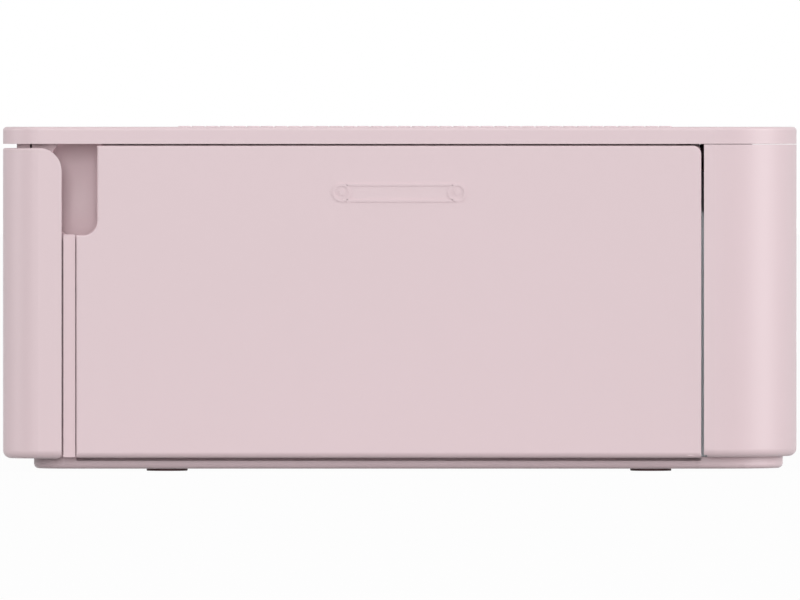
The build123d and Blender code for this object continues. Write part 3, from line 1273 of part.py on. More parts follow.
def film_strip(points):
    """A strip of film along a polyline of (y, z) points."""
    x_span = (ENGINE_MID - FILM_WIDTH / 2 + 0.5, ENGINE_MID + FILM_WIDTH / 2 - 0.5)
    half = FILM_THICKNESS / 2
    strip = None
    for start, end in zip(points, points[1:]):
        length = math.hypot(end[0] - start[0], end[1] - start[1])
        ny, nz = -(end[1] - start[1]) / length * half, (end[0] - start[0]) / length * half
        outline = [
            (start[0] + ny, start[1] + nz),
            (end[0] + ny, end[1] + nz),
            (end[0] - ny, end[1] - nz),
            (start[0] - ny, start[1] - nz),
        ]
        piece = section_x(outline, x_span)
        strip = piece if strip is None else strip + piece + rod_x(half, x_span, *start)
    return strip


def ink_ribbon():
    """Film from the supply roll, under the head's nose, to the take-up roll."""
    start = along(SUPPLY_AT, SUPPLY_ROLL + 0.1, SUPPLY_TANGENT)
    end = along(TAKE_UP_AT, TAKE_UP_ROLL + 0.1, TAKE_UP_TANGENT)
    return film_strip([start, (-NOSE_FILM[0], NOSE_FILM[1]), NOSE_FILM, PEEL_AT, end])


# ---------------------------------------------------------------- paper guides

GUIDE_SPAN = (ROLLER_SPAN[0] - 5.0, ROLLER_SPAN[1] + 5.0)
GUIDE_LEGS = (22.0, 40.0)


def paper_guide():
    """Table under the paper cassette, with the ramp that lifts the sheet to the head."""
    table = FRAME_SHELF + 1.0
    ramp_end = -PLATEN_RADIUS - 2.0
    points = [
        (FRONT + BASE_FRONT_INSET + 4.3, table - 1.5),
        (FRONT + BASE_FRONT_INSET + 4.3, table),
        (PICKUP_OFFSET + 9.0, table),
        (PICKUP_OFFSET + 11.5, table + 6.0),
        (ramp_end - 1.5, PATH_Z - 0.8),
        (ramp_end, PATH_Z - 0.8),
        (ramp_end - 2.5, table),
        (ramp_end - 2.5, FLOOR),
        (ramp_end - 5.0, FLOOR),
        (ramp_end - 5.0, table - 1.5),
    ]
    guide = section_x(points, GUIDE_SPAN)
    for inset in GUIDE_LEGS:
        leg_y = (FRONT + inset, FRONT + inset + 1.5)
        guide += block(GUIDE_SPAN, leg_y, (FLOOR, table - 1.0))
    return guide


def exit_guide():
    """Slope that carries the sheet from the feed roller to the rear slot."""
    start, end = FEED_OFFSET + FEED_RADIUS + 1.0, REAR - SHELL_WALL - 1.8
    low, high = PATH_Z - 0.6, REAR_SLOT_LOW + 0.6
    points = [(start, low - 1.4), (start, low), (end, high), (end, high - 1.5)]
    guide = section_x(points, GUIDE_SPAN)
    slope = (high - low) / (end - start)
    for y in (start + 14.0, end - 10.0):
        guide += block(GUIDE_SPAN, (y, y + 1.5), (FLOOR, low - 1.0 + slope * (y - start)))
    return guide


# ---------------------------------------------------------------- electronics


def main_board():
    """Main board on the base's posts, with a tab to the side socket."""
    z_span = (MAIN_BOARD_Z, MAIN_BOARD_Z + BOARD_THICKNESS)
    front = FRONT + MAIN_BOARD_INSET
    board = block((BOARD_LEFT, BOARD_RIGHT), (front, MAIN_BOARD_REAR), z_span)
    tab_y = (USB_Y - BOARD_TAB_HALF, USB_Y + BOARD_TAB_HALF)
    board += block((BOARD_TAB_LEFT, BOARD_LEFT), tab_y, z_span)
    chips_z = (z_span[0] - CHIP_HEIGHT, z_span[0])
    x = (BOARD_LEFT + BOARD_RIGHT) / 2
    for width, depth, y in CHIPS:
        board += block((x - width / 2, x + width / 2), (y - depth / 2, y + depth / 2), chips_z)
    return board


def card_socket():
    """Memory card socket behind the front slot."""
    card_x, card_z = card_slot_centre()
    half = CARD_SLOT_WIDTH / 2 + CARD_SOCKET_WALL
    front = FRAME_FRONT + FRAME_WALL + CARD_SOCKET_GAP
    y_span = (front, front + CARD_SOCKET_LENGTH)
    z_span = (MAIN_BOARD_Z + BOARD_THICKNESS, card_z + CARD_SLOT_HEIGHT / 2 + CARD_SOCKET_ROOF)
    body = block((card_x - half, card_x + half), y_span, z_span)
    slot_z = (card_z - CARD_HEIGHT / 2, card_z + CARD_HEIGHT / 2)
    slot_x = (card_x - half + CARD_EDGE, card_x + half - CARD_EDGE)
    return body - block(slot_x, (front, y_span[1] - CARD_SOCKET_BACK), slot_z)


def usb_socket():
    """Small oval data socket on the left side."""
    z_low = MAIN_BOARD_Z + BOARD_THICKNESS
    mouth = LEFT + SHELL_WALL + 0.2
    x_span = (mouth, mouth + USB_LENGTH)
    half = USB_WIDTH / 2 - 0.2
    top = z_low + USB_HEIGHT - 0.2
    body = block(x_span, (USB_Y - half, USB_Y + half), (z_low, top))
    hollow_y = (USB_Y - half + USB_SHEET, USB_Y + half - USB_SHEET)
    hollow = block((mouth, x_span[1] - 1.0), hollow_y, (z_low + USB_SHEET, top - USB_SHEET))
    middle = (z_low + top) / 2
    tongue_y = (USB_Y - USB_TONGUE_HALF, USB_Y + USB_TONGUE_HALF)
    tongue_z = (middle - USB_TONGUE_THICKNESS / 2, middle + USB_TONGUE_THICKNESS / 2)
    return body - hollow + block((mouth + 0.8, x_span[1] - 0.5), tongue_y, tongue_z)


def dc_jack():
    """Power socket behind the rear wall, standing on the base."""
    x = LEFT + JACK_X_INSET
    back = REAR - SHELL_WALL - 0.1
    front = back - JACK_DEPTH - JACK_BACK_WALL
    body = block((x - JACK_HALF, x + JACK_HALF), (front, back), (FLOOR + FLANGE, JACK_Z + JACK_HALF))
    return body - rod_y(JACK_BORE, x, (back - JACK_DEPTH, back), JACK_Z)


# ---------------------------------------------------------------- all nodes

PARTS = {
    "base_tray": base_tray,
    "feet": feet,
    "base_screws": base_screws,
    "housing_shell": housing_shell,
    "front_frame": front_frame,
    "side_frame": side_frame,
    "top_cover": top_cover,
    "screen_window": screen_window,
    "lcd_panel": lcd_panel,
    "button_board": button_board,
    "tact_switches": tact_switches,
    "ok_button": ok_button,
    "navigation_ring": navigation_ring,
    "power_button": lambda: round_key(SMALL_KEY[1] / 2, POWER_KEY),
    "print_button": lambda: pill_key(PRINT_KEY, PRINT_KEY_AT),
    **{name: (lambda place=place: pill_key(SMALL_KEY, place)) for name, place in SMALL_KEYS.items()},
    "front_cover": front_cover,
    "front_cover_pins": front_cover_pins,
    "ink_door": ink_door,
    "ink_door_pins": ink_door_pins,
    "door_catch": door_catch,
    "release_lever": release_lever,
    "lever_pin": lever_pin,
    "engine_plate_left": engine_plate_left,
    "engine_plate_right": engine_plate_right,
    "tie_plate": tie_plate,
    "gearbox_plate": gearbox_plate,
    "gear_axles": gear_axles,
    "feed_motor": lambda: motor(FEED_MOTOR_RADIUS, FEED_PINION_AT),
    "ribbon_motor": lambda: motor(RIBBON_MOTOR_RADIUS, RIBBON_PINION_AT),
    "feed_pinion": feed_pinion,
    "ribbon_pinion": ribbon_pinion,
    "rear_idler_gear": lambda: idler_gear(REAR_IDLER_PHASE, REAR_IDLER_AT),
    "front_idler_gear": lambda: idler_gear(FRONT_IDLER_PHASE, FRONT_IDLER_AT),
    "feed_gear": feed_gear,
    "pickup_gear": pickup_gear,
    "take_up_gear": take_up_gear,
    "platen_roller": platen_roller,
    "platen_shaft": platen_shaft,
    "feed_roller": feed_roller,
    "pickup_shaft": pickup_shaft,
    "pickup_tyres": pickup_tyres,
    "head_arm": head_arm,
    "head_pivot_shaft": head_pivot_shaft,
    "heat_sink": heat_sink,
    "thermal_head": thermal_head,
    "pinch_roller": pinch_roller,
    "cassette_shell": cassette_shell,
    "supply_spool": supply_spool,
    "take_up_spool": take_up_spool,
    "ink_ribbon": ink_ribbon,
    "paper_guide": paper_guide,
    "exit_guide": exit_guide,
    "main_board": main_board,
    "card_socket": card_socket,
    "usb_socket": usb_socket,
    "dc_jack": dc_jack,
}


def main():
    """Build and write every node."""
    os.makedirs("parts", exist_ok=True)
    for node, build in PARTS.items():
        export_step(build(), f"parts/{node}.step")


main()
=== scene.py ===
"""Looks of a compact photo printer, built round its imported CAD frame.

The frame's own pieces keep their shapes and get their finishes here. The small things that a
maker adds last, such as the embossed grip pattern, the key symbols, the blank rating plate and
the contacts in the sockets, are modelled here and ride on the frame's bodies.
"""

import json
import logging
import math
from dataclasses import dataclass
from enum import Enum
from typing import Iterable, Optional, Protocol, Sequence

import bmesh
import bpy
from mathutils import Matrix, Vector


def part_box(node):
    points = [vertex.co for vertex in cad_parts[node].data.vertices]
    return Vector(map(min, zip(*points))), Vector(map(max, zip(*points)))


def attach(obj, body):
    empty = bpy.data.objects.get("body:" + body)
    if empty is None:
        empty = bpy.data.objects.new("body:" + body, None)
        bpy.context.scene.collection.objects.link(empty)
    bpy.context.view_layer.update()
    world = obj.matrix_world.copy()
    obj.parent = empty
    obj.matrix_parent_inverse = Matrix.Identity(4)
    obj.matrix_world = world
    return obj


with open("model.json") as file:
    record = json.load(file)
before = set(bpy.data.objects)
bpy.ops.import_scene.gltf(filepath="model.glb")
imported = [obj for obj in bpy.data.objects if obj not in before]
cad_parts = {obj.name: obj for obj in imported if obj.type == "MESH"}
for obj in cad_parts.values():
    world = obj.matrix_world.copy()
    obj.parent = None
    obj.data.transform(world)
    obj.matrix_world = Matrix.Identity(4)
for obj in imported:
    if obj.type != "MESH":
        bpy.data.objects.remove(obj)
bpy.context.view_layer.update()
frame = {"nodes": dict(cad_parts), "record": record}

MM = 0.001
LOG = logging.getLogger("photo_printer")

Colour = tuple[float, float, float, float]
Point = tuple[float, float]

# Inputs and output of a colour mix, whose names the node's other kinds share.
MIX_FIRST, MIX_SECOND, MIX_RESULT = 6, 7, 2
# How far, in mm, a raised mark starts under its face, so that no gap shows.
ROOT = 0.05


# ---------------------------------------------------------------------------------------------
# Colour and node helpers
# ---------------------------------------------------------------------------------------------

def linear(hex_code: str) -> Colour:
    """Turns an sRGB hex value into the linear colour that shaders use.

    Args:
        hex_code: six hex digits, with or without a leading #.

    Returns:
        Linear red, green and blue, with an alpha of 1.
    """
    digits = hex_code.lstrip("#")
    parts = (int(digits[i:i + 2], 16) / 255 for i in (0, 2, 4))
    rgb = [c / 12.92 if c <= 0.04045 else ((c + 0.055) / 1.055) ** 2.4 for c in parts]
    return (rgb[0], rgb[1], rgb[2], 1.0)


def per_metre(size_mm: float) -> float:
    """Returns the texture scale, in cycles per metre, of a feature of this size."""
    return 1 / (size_mm * MM)


def add_node(
    tree: bpy.types.NodeTree,
    kind: str,
    values: Optional[dict[str | int, object]] = None,
    links: Optional[dict[str | int, bpy.types.NodeSocket]] = None,
    **settings: object,
) -> bpy.types.Node:
    """Adds a node with its settings, its constant inputs and its links.

    Args:
        tree: the node tree that it goes in.
        kind: Blender's name of the node type.
        values: constants by input name or index.
        links: output sockets by the input name or index that they feed.
        **settings: the node's own properties.

    Returns:
        The new node.
    """
    node = tree.nodes.new(kind)
    for name, value in settings.items():
        setattr(node, name, value)
    for socket, value in (values or {}).items():
        node.inputs[socket].default_value = value
    for socket, source in (links or {}).items():
        tree.links.new(source, node.inputs[socket])
    return node


def fresh_tree(name: str) -> tuple[bpy.types.Material, bpy.types.NodeTree]:
    """Makes an empty node material.

    Args:
        name: the real material's name.

    Returns:
        The material and its cleared node tree.
    """
    material = bpy.data.materials.new(name)
    material.use_nodes = True
    material.node_tree.nodes.clear()
    return material, material.node_tree


def object_place(tree: bpy.types.NodeTree) -> bpy.types.NodeSocket:
    """Returns the place on the object, in the printer's own metres."""
    return add_node(tree, "ShaderNodeTexCoord").outputs["Object"]


def noise(
    tree: bpy.types.NodeTree,
    place: bpy.types.NodeSocket,
    size_mm: float,
    detail: float,
    roughness: float = 0.5,
) -> bpy.types.NodeSocket:
    """Makes noise that is alike in all directions.

    Args:
        tree: the node tree.
        place: where the noise is looked up.
        size_mm: size of its features.
        detail: octaves that it adds.
        roughness: how much of each octave is left in the next.

    Returns:
        The noise, about 0.5 on average.
    """
    node = add_node(tree, "ShaderNodeTexNoise", links={"Vector": place},
                    values={"Scale": per_metre(size_mm), "Detail": detail,
                            "Roughness": roughness})
    return node.outputs["Fac"]


def spread(
    tree: bpy.types.NodeTree,
    value: bpy.types.NodeSocket,
    low: float,
    high: float,
    start: float = 0.0,
    end: float = 1.0,
) -> bpy.types.NodeSocket:
    """Maps one range of values to another, and holds it there.

    Args:
        tree: the node tree.
        value: what is mapped.
        low: result at start.
        high: result at end.
        start: value that gives low.
        end: value that gives high.

    Returns:
        The mapped value.
    """
    node = add_node(tree, "ShaderNodeMapRange", links={"Value": value},
                    values={"From Min": start, "From Max": end, "To Min": low,
                            "To Max": high})
    return node.outputs["Result"]


def two_tone(
    tree: bpy.types.NodeTree,
    factor: bpy.types.NodeSocket,
    first: str,
    second: str,
) -> bpy.types.NodeSocket:
    """Mixes two colours.

    Args:
        tree: the node tree.
        factor: share of the second colour.
        first: sRGB hex value.
        second: sRGB hex value.

    Returns:
        The mixed colour.
    """
    node = add_node(tree, "ShaderNodeMix", data_type="RGBA", links={"Factor": factor})
    node.inputs[MIX_FIRST].default_value = linear(first)
    node.inputs[MIX_SECOND].default_value = linear(second)
    return node.outputs[MIX_RESULT]


def relief(
    tree: bpy.types.NodeTree,
    height: bpy.types.NodeSocket,
    depth_mm: float,
    strength: float,
) -> bpy.types.NodeSocket:
    """Turns heights into the tilt of the surface.

    Args:
        tree: the node tree.
        height: height of the surface, from 0 to 1.
        depth_mm: real depth that a height of 1 stands for.
        strength: share of the tilt that is kept.

    Returns:
        The tilted normal.
    """
    node = add_node(tree, "ShaderNodeBump", links={"Height": height},
                    values={"Strength": strength, "Distance": depth_mm * MM})
    return node.outputs["Normal"]


def surface(
    tree: bpy.types.NodeTree,
    values: dict[str | int, object],
    links: dict[str | int, bpy.types.NodeSocket],
) -> bpy.types.Node:
    """Adds the surface shader and its output.

    Args:
        tree: the node tree.
        values: the shader's constants.
        links: output sockets by the shader's input that they feed.

    Returns:
        The shader.
    """
    shader = add_node(tree, "ShaderNodeBsdfPrincipled", values=values, links=links)
    add_node(tree, "ShaderNodeOutputMaterial", links={"Surface": shader.outputs["BSDF"]})
    return shader


# ---------------------------------------------------------------------------------------------
# Finishes
# ---------------------------------------------------------------------------------------------

class Axis(Enum):
    """A direction that drawing, rolling or grinding leaves its lines in."""

    X = 0
    Y = 1
    Z = 2


class Finish(Protocol):
    """What every finish offers: the real material's name, and the node material."""

    name: str

    def build(self) -> bpy.types.Material:
        """Returns the node material."""


@dataclass(frozen=True)
class MouldedPlastic:
    """A plastic moulded in a spark-eroded, blasted or polished tool.

    The grain catches the light as a fine even tooth, and slow changes in how the melt filled
    the tool leave the colour a shade warmer in patches.
    """

    name: str
    colour: str
    patch_colour: str
    roughness: float = 0.5
    swing: float = 0.06
    grain_mm: float = 0.35
    grain_depth_mm: float = 0.006
    patch_mm: float = 28.0
    ior: float = 1.53
    translucence: float = 0.0
    scatter_mm: float = 0.6
    scatter_shares: tuple[float, float, float] = (1.0, 0.8, 0.8)

    def build(self) -> bpy.types.Material:
        """Returns the node material."""
        material, tree = fresh_tree(self.name)
        place = object_place(tree)
        patches = noise(tree, place, self.patch_mm, detail=2.0)
        grain = noise(tree, place, self.grain_mm, detail=3.0, roughness=0.6)
        shader = surface(tree, {"IOR": self.ior}, {
            "Base Color": two_tone(tree, patches, self.colour, self.patch_colour),
            "Roughness": spread(tree, grain, self.roughness - self.swing,
                                self.roughness + self.swing),
            "Normal": relief(tree, grain, self.grain_depth_mm, strength=0.5),
        })
        if self.translucence:
            shader.inputs["Subsurface Weight"].default_value = self.translucence
            shader.inputs["Subsurface Radius"].default_value = self.scatter_shares
            shader.inputs["Subsurface Scale"].default_value = self.scatter_mm * MM
        return material


@dataclass(frozen=True)
class WorkedMetal:
    """Rolled, drawn, ground or turned metal.

    The tool leaves lines one way, so the highlight stretches across them, and the plating or
    the oil on the bare metal clouds it in patches.
    """

    name: str
    colour: str
    cloud_colour: str
    roughness: float = 0.32
    line_mm: float = 0.25
    line_axis: Axis = Axis.X
    line_length_mm: float = 12.0
    line_depth_mm: float = 0.004
    cloud_mm: float = 9.0
    smoother: float = 0.08
    rougher: float = 0.12

    def build(self) -> bpy.types.Material:
        """Returns the node material."""
        material, tree = fresh_tree(self.name)
        place = object_place(tree)
        scale = [per_metre(self.line_mm)] * 3
        scale[self.line_axis.value] = per_metre(self.line_length_mm)
        stretched = add_node(tree, "ShaderNodeMapping", links={"Vector": place},
                             values={"Scale": scale})
        lines = add_node(tree, "ShaderNodeTexNoise",
                         links={"Vector": stretched.outputs["Vector"]},
                         values={"Scale": 1.0, "Detail": 2.0}).outputs["Fac"]
        clouds = noise(tree, place, self.cloud_mm, detail=3.0)
        surface(tree, {"Metallic": 1.0}, {
            "Base Color": two_tone(tree, clouds, self.colour, self.cloud_colour),
            "Roughness": spread(tree, lines, self.roughness - self.smoother,
                                self.roughness + self.rougher),
            "Normal": relief(tree, lines, self.line_depth_mm, strength=0.4),
        })
        return material


@dataclass(frozen=True)
class Rubber:
    """Moulded or ground rubber: dull, with a fine pitted skin and a little dust on it."""

    name: str
    colour: str
    dust_colour: str
    pit_mm: float = 0.4
    pit_depth_mm: float = 0.02
    dust_mm: float = 5.0
    dust_range: Point = (0.45, 0.8)
    roughness: float = 0.78
    ior: float = 1.52

    def build(self) -> bpy.types.Material:
        """Returns the node material."""
        material, tree = fresh_tree(self.name)
        place = object_place(tree)
        pits = add_node(tree, "ShaderNodeTexVoronoi", links={"Vector": place},
                        values={"Scale": per_metre(self.pit_mm)}).outputs["Distance"]
        dust = spread(tree, noise(tree, place, self.dust_mm, detail=5.0), 0.0, 1.0,
                      *self.dust_range)
        surface(tree, {"Roughness": self.roughness, "IOR": self.ior}, {
            "Base Color": two_tone(tree, dust, self.colour, self.dust_colour),
            "Normal": relief(tree, pits, self.pit_depth_mm, strength=0.6),
        })
        return material


@dataclass(frozen=True)
class BackPrintedPanel:
    """A clear acrylic panel printed black on its back, with a clear place for the display.

    The face is polished, so it mirrors the room, and the unlit display shows through it as a
    slightly lighter, bluish rectangle. Faint smears dull the mirror in places.
    """

    name: str
    border: str
    active: str
    centre_mm: Point
    size_mm: Point
    smear_mm: float = 14.0
    gloss_range: Point = (0.05, 0.13)
    ior: float = 1.49

    def build(self) -> bpy.types.Material:
        """Returns the node material."""
        material, tree = fresh_tree(self.name)
        place = object_place(tree)
        axes = add_node(tree, "ShaderNodeSeparateXYZ", links={"Vector": place})
        across, along = (
            add_node(tree, "ShaderNodeMath", operation="COMPARE",
                     links={0: axes.outputs[axis]},
                     values={1: centre * MM, 2: size * MM / 2}).outputs[0]
            for axis, centre, size in zip("XY", self.centre_mm, self.size_mm))
        inside = add_node(tree, "ShaderNodeMath", operation="MULTIPLY",
                          links={0: across, 1: along}).outputs[0]
        smears = noise(tree, place, self.smear_mm, detail=4.0)
        surface(tree, {"IOR": self.ior}, {
            "Base Color": two_tone(tree, inside, self.border, self.active),
            "Roughness": spread(tree, smears, *self.gloss_range),
        })
        return material


@dataclass(frozen=True)
class SolderMask:
    """A printed board: green solder mask over copper tracks, which stand up a little."""

    name: str
    colour: str = "#0f4a2c"
    track_colour: str = "#1d6b41"
    cell_mm: float = 6.4
    track_share: float = 0.035
    cell_width: float = 0.9
    cell_height: float = 0.25
    track_depth_mm: float = 0.035
    roughness: float = 0.28
    ior: float = 1.5

    def build(self) -> bpy.types.Material:
        """Returns the node material."""
        material, tree = fresh_tree(self.name)
        tracks = add_node(tree, "ShaderNodeTexBrick", links={"Vector": object_place(tree)},
                          values={"Scale": per_metre(self.cell_mm),
                                  "Mortar Size": self.track_share,
                                  "Brick Width": self.cell_width,
                                  "Row Height": self.cell_height}).outputs["Fac"]
        surface(tree, {"Roughness": self.roughness, "IOR": self.ior}, {
            "Base Color": two_tone(tree, tracks, self.colour, self.track_colour),
            "Normal": relief(tree, tracks, self.track_depth_mm, strength=0.5),
        })
        return material


@dataclass(frozen=True)
class DyeFilm:
    """Dye ribbon: thin glossy film whose panels of colour follow each other along it."""

    name: str
    panels: tuple[str, str, str] = ("#3a3208", "#3b0a24", "#08243a")
    panel_mm: float = 9.0
    wrinkle_mm: float = 3.0
    wrinkle_depth_mm: float = 0.03
    roughness: float = 0.16
    ior: float = 1.6

    def build(self) -> bpy.types.Material:
        """Returns the node material."""
        material, tree = fresh_tree(self.name)
        place = object_place(tree)
        axes = add_node(tree, "ShaderNodeSeparateXYZ", links={"Vector": place})
        along = add_node(tree, "ShaderNodeMath", operation="DIVIDE",
                         links={0: axes.outputs["Y"]},
                         values={1: self.panel_mm * MM * len(self.panels)})
        phase = add_node(tree, "ShaderNodeMath", operation="FRACT",
                         links={0: along.outputs[0]})
        ramp = add_node(tree, "ShaderNodeValToRGB", links={"Fac": phase.outputs[0]})
        ramp.color_ramp.interpolation = "CONSTANT"
        for index, panel in enumerate(self.panels):
            stops = ramp.color_ramp.elements
            stop = stops[index] if index < 2 else stops.new(index / len(self.panels))
            stop.position = index / len(self.panels)
            stop.color = linear(panel)
        wrinkles = noise(tree, place, self.wrinkle_mm, detail=2.0)
        surface(tree, {"Roughness": self.roughness, "IOR": self.ior}, {
            "Base Color": ramp.outputs["Color"],
            "Normal": relief(tree, wrinkles, self.wrinkle_depth_mm, strength=0.4),
        })
        return material


# ABS out of a spark-eroded tool: matt, with a soft wide highlight on its rounded edges.
PINK_ABS = MouldedPlastic("pink moulded ABS, spark eroded", "#dac5c9", "#dcc6cb",
                          roughness=0.42)
# The keys' tool is blasted finer, so they look a touch smoother than the cover round them.
KEY_ABS = MouldedPlastic("pink moulded ABS, blasted", "#dcc7cb", "#dec8cd", roughness=0.42,
                         grain_mm=0.25, grain_depth_mm=0.004)
# The inner frame is satin, and keeps its highlights softer than the covers do.
FRAME_ABS = MouldedPlastic("pink moulded ABS, satin", "#dcc5c9", "#dec6cb", roughness=0.5,
                           grain_mm=0.4)
BLACK_ABS = MouldedPlastic("black moulded ABS", "#17171a", "#1d1d20", roughness=0.45,
                           grain_mm=0.3, grain_depth_mm=0.008)
# Acetal lets a little light in, so its gear teeth look waxy.
ACETAL = MouldedPlastic("natural acetal", "#e6e3da", "#eae6dc", roughness=0.35, grain_mm=0.5,
                        grain_depth_mm=0.003, patch_mm=12.0, ior=1.48, translucence=0.25)
WHITE_ACETAL = MouldedPlastic("white acetal", "#e4e4e1", "#dddcd8", roughness=0.38,
                              grain_mm=0.4, grain_depth_mm=0.004, patch_mm=12.0, ior=1.48,
                              translucence=0.2)
# Polystyrene bends the light more than ABS does, so the cassette looks a little glassier.
CASSETTE_PS = MouldedPlastic("blue grey moulded polystyrene", "#8c98a8", "#929eae",
                             roughness=0.42, grain_mm=0.3, patch_mm=18.0, ior=1.59)
SWITCH_NYLON = MouldedPlastic("black moulded nylon", "#202023", "#29292c", roughness=0.55,
                              grain_mm=0.25, grain_depth_mm=0.008)
# The head's glaze is nearly smooth, with a tight bright highlight along its bead.
CERAMIC = MouldedPlastic("glazed alumina ceramic", "#e4dfd4", "#ddd7ca", roughness=0.18,
                         grain_mm=0.6, grain_depth_mm=0.002, patch_mm=8.0, ior=1.65)
# Pad-printed ink lies flat and matt on the key.
SYMBOL_INK = MouldedPlastic("grey pad-printed ink", "#8f7d81", "#937f84", roughness=0.55,
                            grain_mm=0.2, grain_depth_mm=0.002)
PLATE_FILM = MouldedPlastic("silver polyester film", "#c9c9cb", "#cfcfd1", roughness=0.3,
                            grain_mm=0.3, grain_depth_mm=0.002)
# Zinc-plated sheet keeps the lines of the rolls, all one way.
SHEET_STEEL = WorkedMetal("zinc-plated sheet steel", "#c3c6c9", "#b3b7bc", roughness=0.34,
                          line_mm=0.2, line_axis=Axis.Z)
SHAFT_STEEL = WorkedMetal("ground steel bar", "#cdd0d2", "#c2c5c8", roughness=0.2,
                          line_mm=0.12, line_axis=Axis.Y, line_length_mm=6.0)
SCREW_STEEL = WorkedMetal("black oxide steel", "#4a4a4e", "#3d3d41", roughness=0.4,
                          line_mm=0.2, line_length_mm=2.0)
MOTOR_STEEL = WorkedMetal("drawn plated steel can", "#b9bcc1", "#a9adb3", roughness=0.3,
                          line_mm=0.3)
SOCKET_TIN = WorkedMetal("tinned steel shell", "#cfcfca", "#c4c4be", roughness=0.24,
                         line_mm=0.3, line_axis=Axis.Y, line_length_mm=5.0)
# Extruded fins have long lines the way that they left the die.
ALUMINIUM = WorkedMetal("extruded aluminium", "#d3d5d8", "#c9ccd0", roughness=0.36,
                        line_length_mm=20.0)
BRASS = WorkedMetal("hobbed brass", "#d9b56c", "#cba55a", roughness=0.28, line_mm=0.15,
                    line_length_mm=2.0)
GOLD_FLASH = WorkedMetal("gold flashed contact", "#dcbd6c", "#cfae5e", roughness=0.26,
                         line_mm=0.1, line_axis=Axis.Y, line_length_mm=1.0)
ROLLER_RUBBER = Rubber("ground black rubber", "#26262a", "#3a3a3e")
FOOT_RUBBER = Rubber("moulded grey rubber", "#66494b", "#70565a", pit_mm=0.5)
DISPLAY_CENTRE: Point = (-38.0, -12.0)
DISPLAY_SIZE: Point = (72.0, 50.0)
SCREEN_PANEL = BackPrintedPanel("black back-printed acrylic", "#08080a", "#14171c",
                                DISPLAY_CENTRE, DISPLAY_SIZE)
DISPLAY_GLASS = BackPrintedPanel("liquid crystal display", "#101114", "#1a1e24",
                                 DISPLAY_CENTRE, DISPLAY_SIZE)
BOARD_MASK = SolderMask("green solder mask")
RIBBON_FILM = DyeFilm("dye ribbon film")

SLOT_FINISHES: dict[str, Finish] = {
    "pink_plastic": PINK_ABS,
    "key_plastic": KEY_ABS,
    "frame_plastic": FRAME_ABS,
    "black_plastic": BLACK_ABS,
    "screen_glass": SCREEN_PANEL,
    "display": DISPLAY_GLASS,
    "sheet_steel": SHEET_STEEL,
    "shaft_steel": SHAFT_STEEL,
    "screw_steel": SCREW_STEEL,
    "motor_steel": MOTOR_STEEL,
    "socket_metal": SOCKET_TIN,
    "aluminium": ALUMINIUM,
    "acetal": ACETAL,
    "latch": WHITE_ACETAL,
    "pinion_brass": BRASS,
    "roller_rubber": ROLLER_RUBBER,
    "foot_rubber": FOOT_RUBBER,
    "board": BOARD_MASK,
    "switch": SWITCH_NYLON,
    "head_ceramic": CERAMIC,
    "cassette_plastic": CASSETTE_PS,
    "ribbon_film": RIBBON_FILM,
}


class FinishShop:
    """Builds each finish once and hands out its material."""

    def __init__(self) -> None:
        """Starts with no materials."""
        self.made: dict[str, bpy.types.Material] = {}

    def get(self, finish: Finish) -> bpy.types.Material:
        """Returns the material of a finish, built at its first use.

        Args:
            finish: one of the finish dataclasses.

        Returns:
            The node material.
        """
        if finish.name not in self.made:
            self.made[finish.name] = finish.build()
        return self.made[finish.name]


# ---------------------------------------------------------------------------------------------
# Mesh helpers: every shape is drawn in millimetres, flat, and laid on a face of the printer
# ---------------------------------------------------------------------------------------------

class Face(Enum):
    """A face of the printer, as the directions of its right, its up and its outward side."""

    TOP = ((1, 0, 0), (0, 1, 0), (0, 0, 1))
    RIGHT = ((0, 1, 0), (0, 0, 1), (1, 0, 0))
    LEFT = ((0, -1, 0), (0, 0, 1), (-1, 0, 0))
    FRONT = ((1, 0, 0), (0, 0, 1), (0, -1, 0))
    REAR = ((-1, 0, 0), (0, 0, 1), (0, 1, 0))
    BASE = ((1, 0, 0), (0, -1, 0), (0, 0, -1))

    def at(self, x: float, y: float, z: float) -> Matrix:
        """Returns the transform from this face's flat drawing to the printer, in mm.

        Args:
            x: where the drawing's origin lies, along X.
            y: the same, along Y.
            z: the same, along Z.
        """
        right, up, out = (Vector(v) for v in self.value)
        turn = Matrix((right, up, out)).transposed().to_4x4()
        return Matrix.Translation((x, y, z)) @ turn


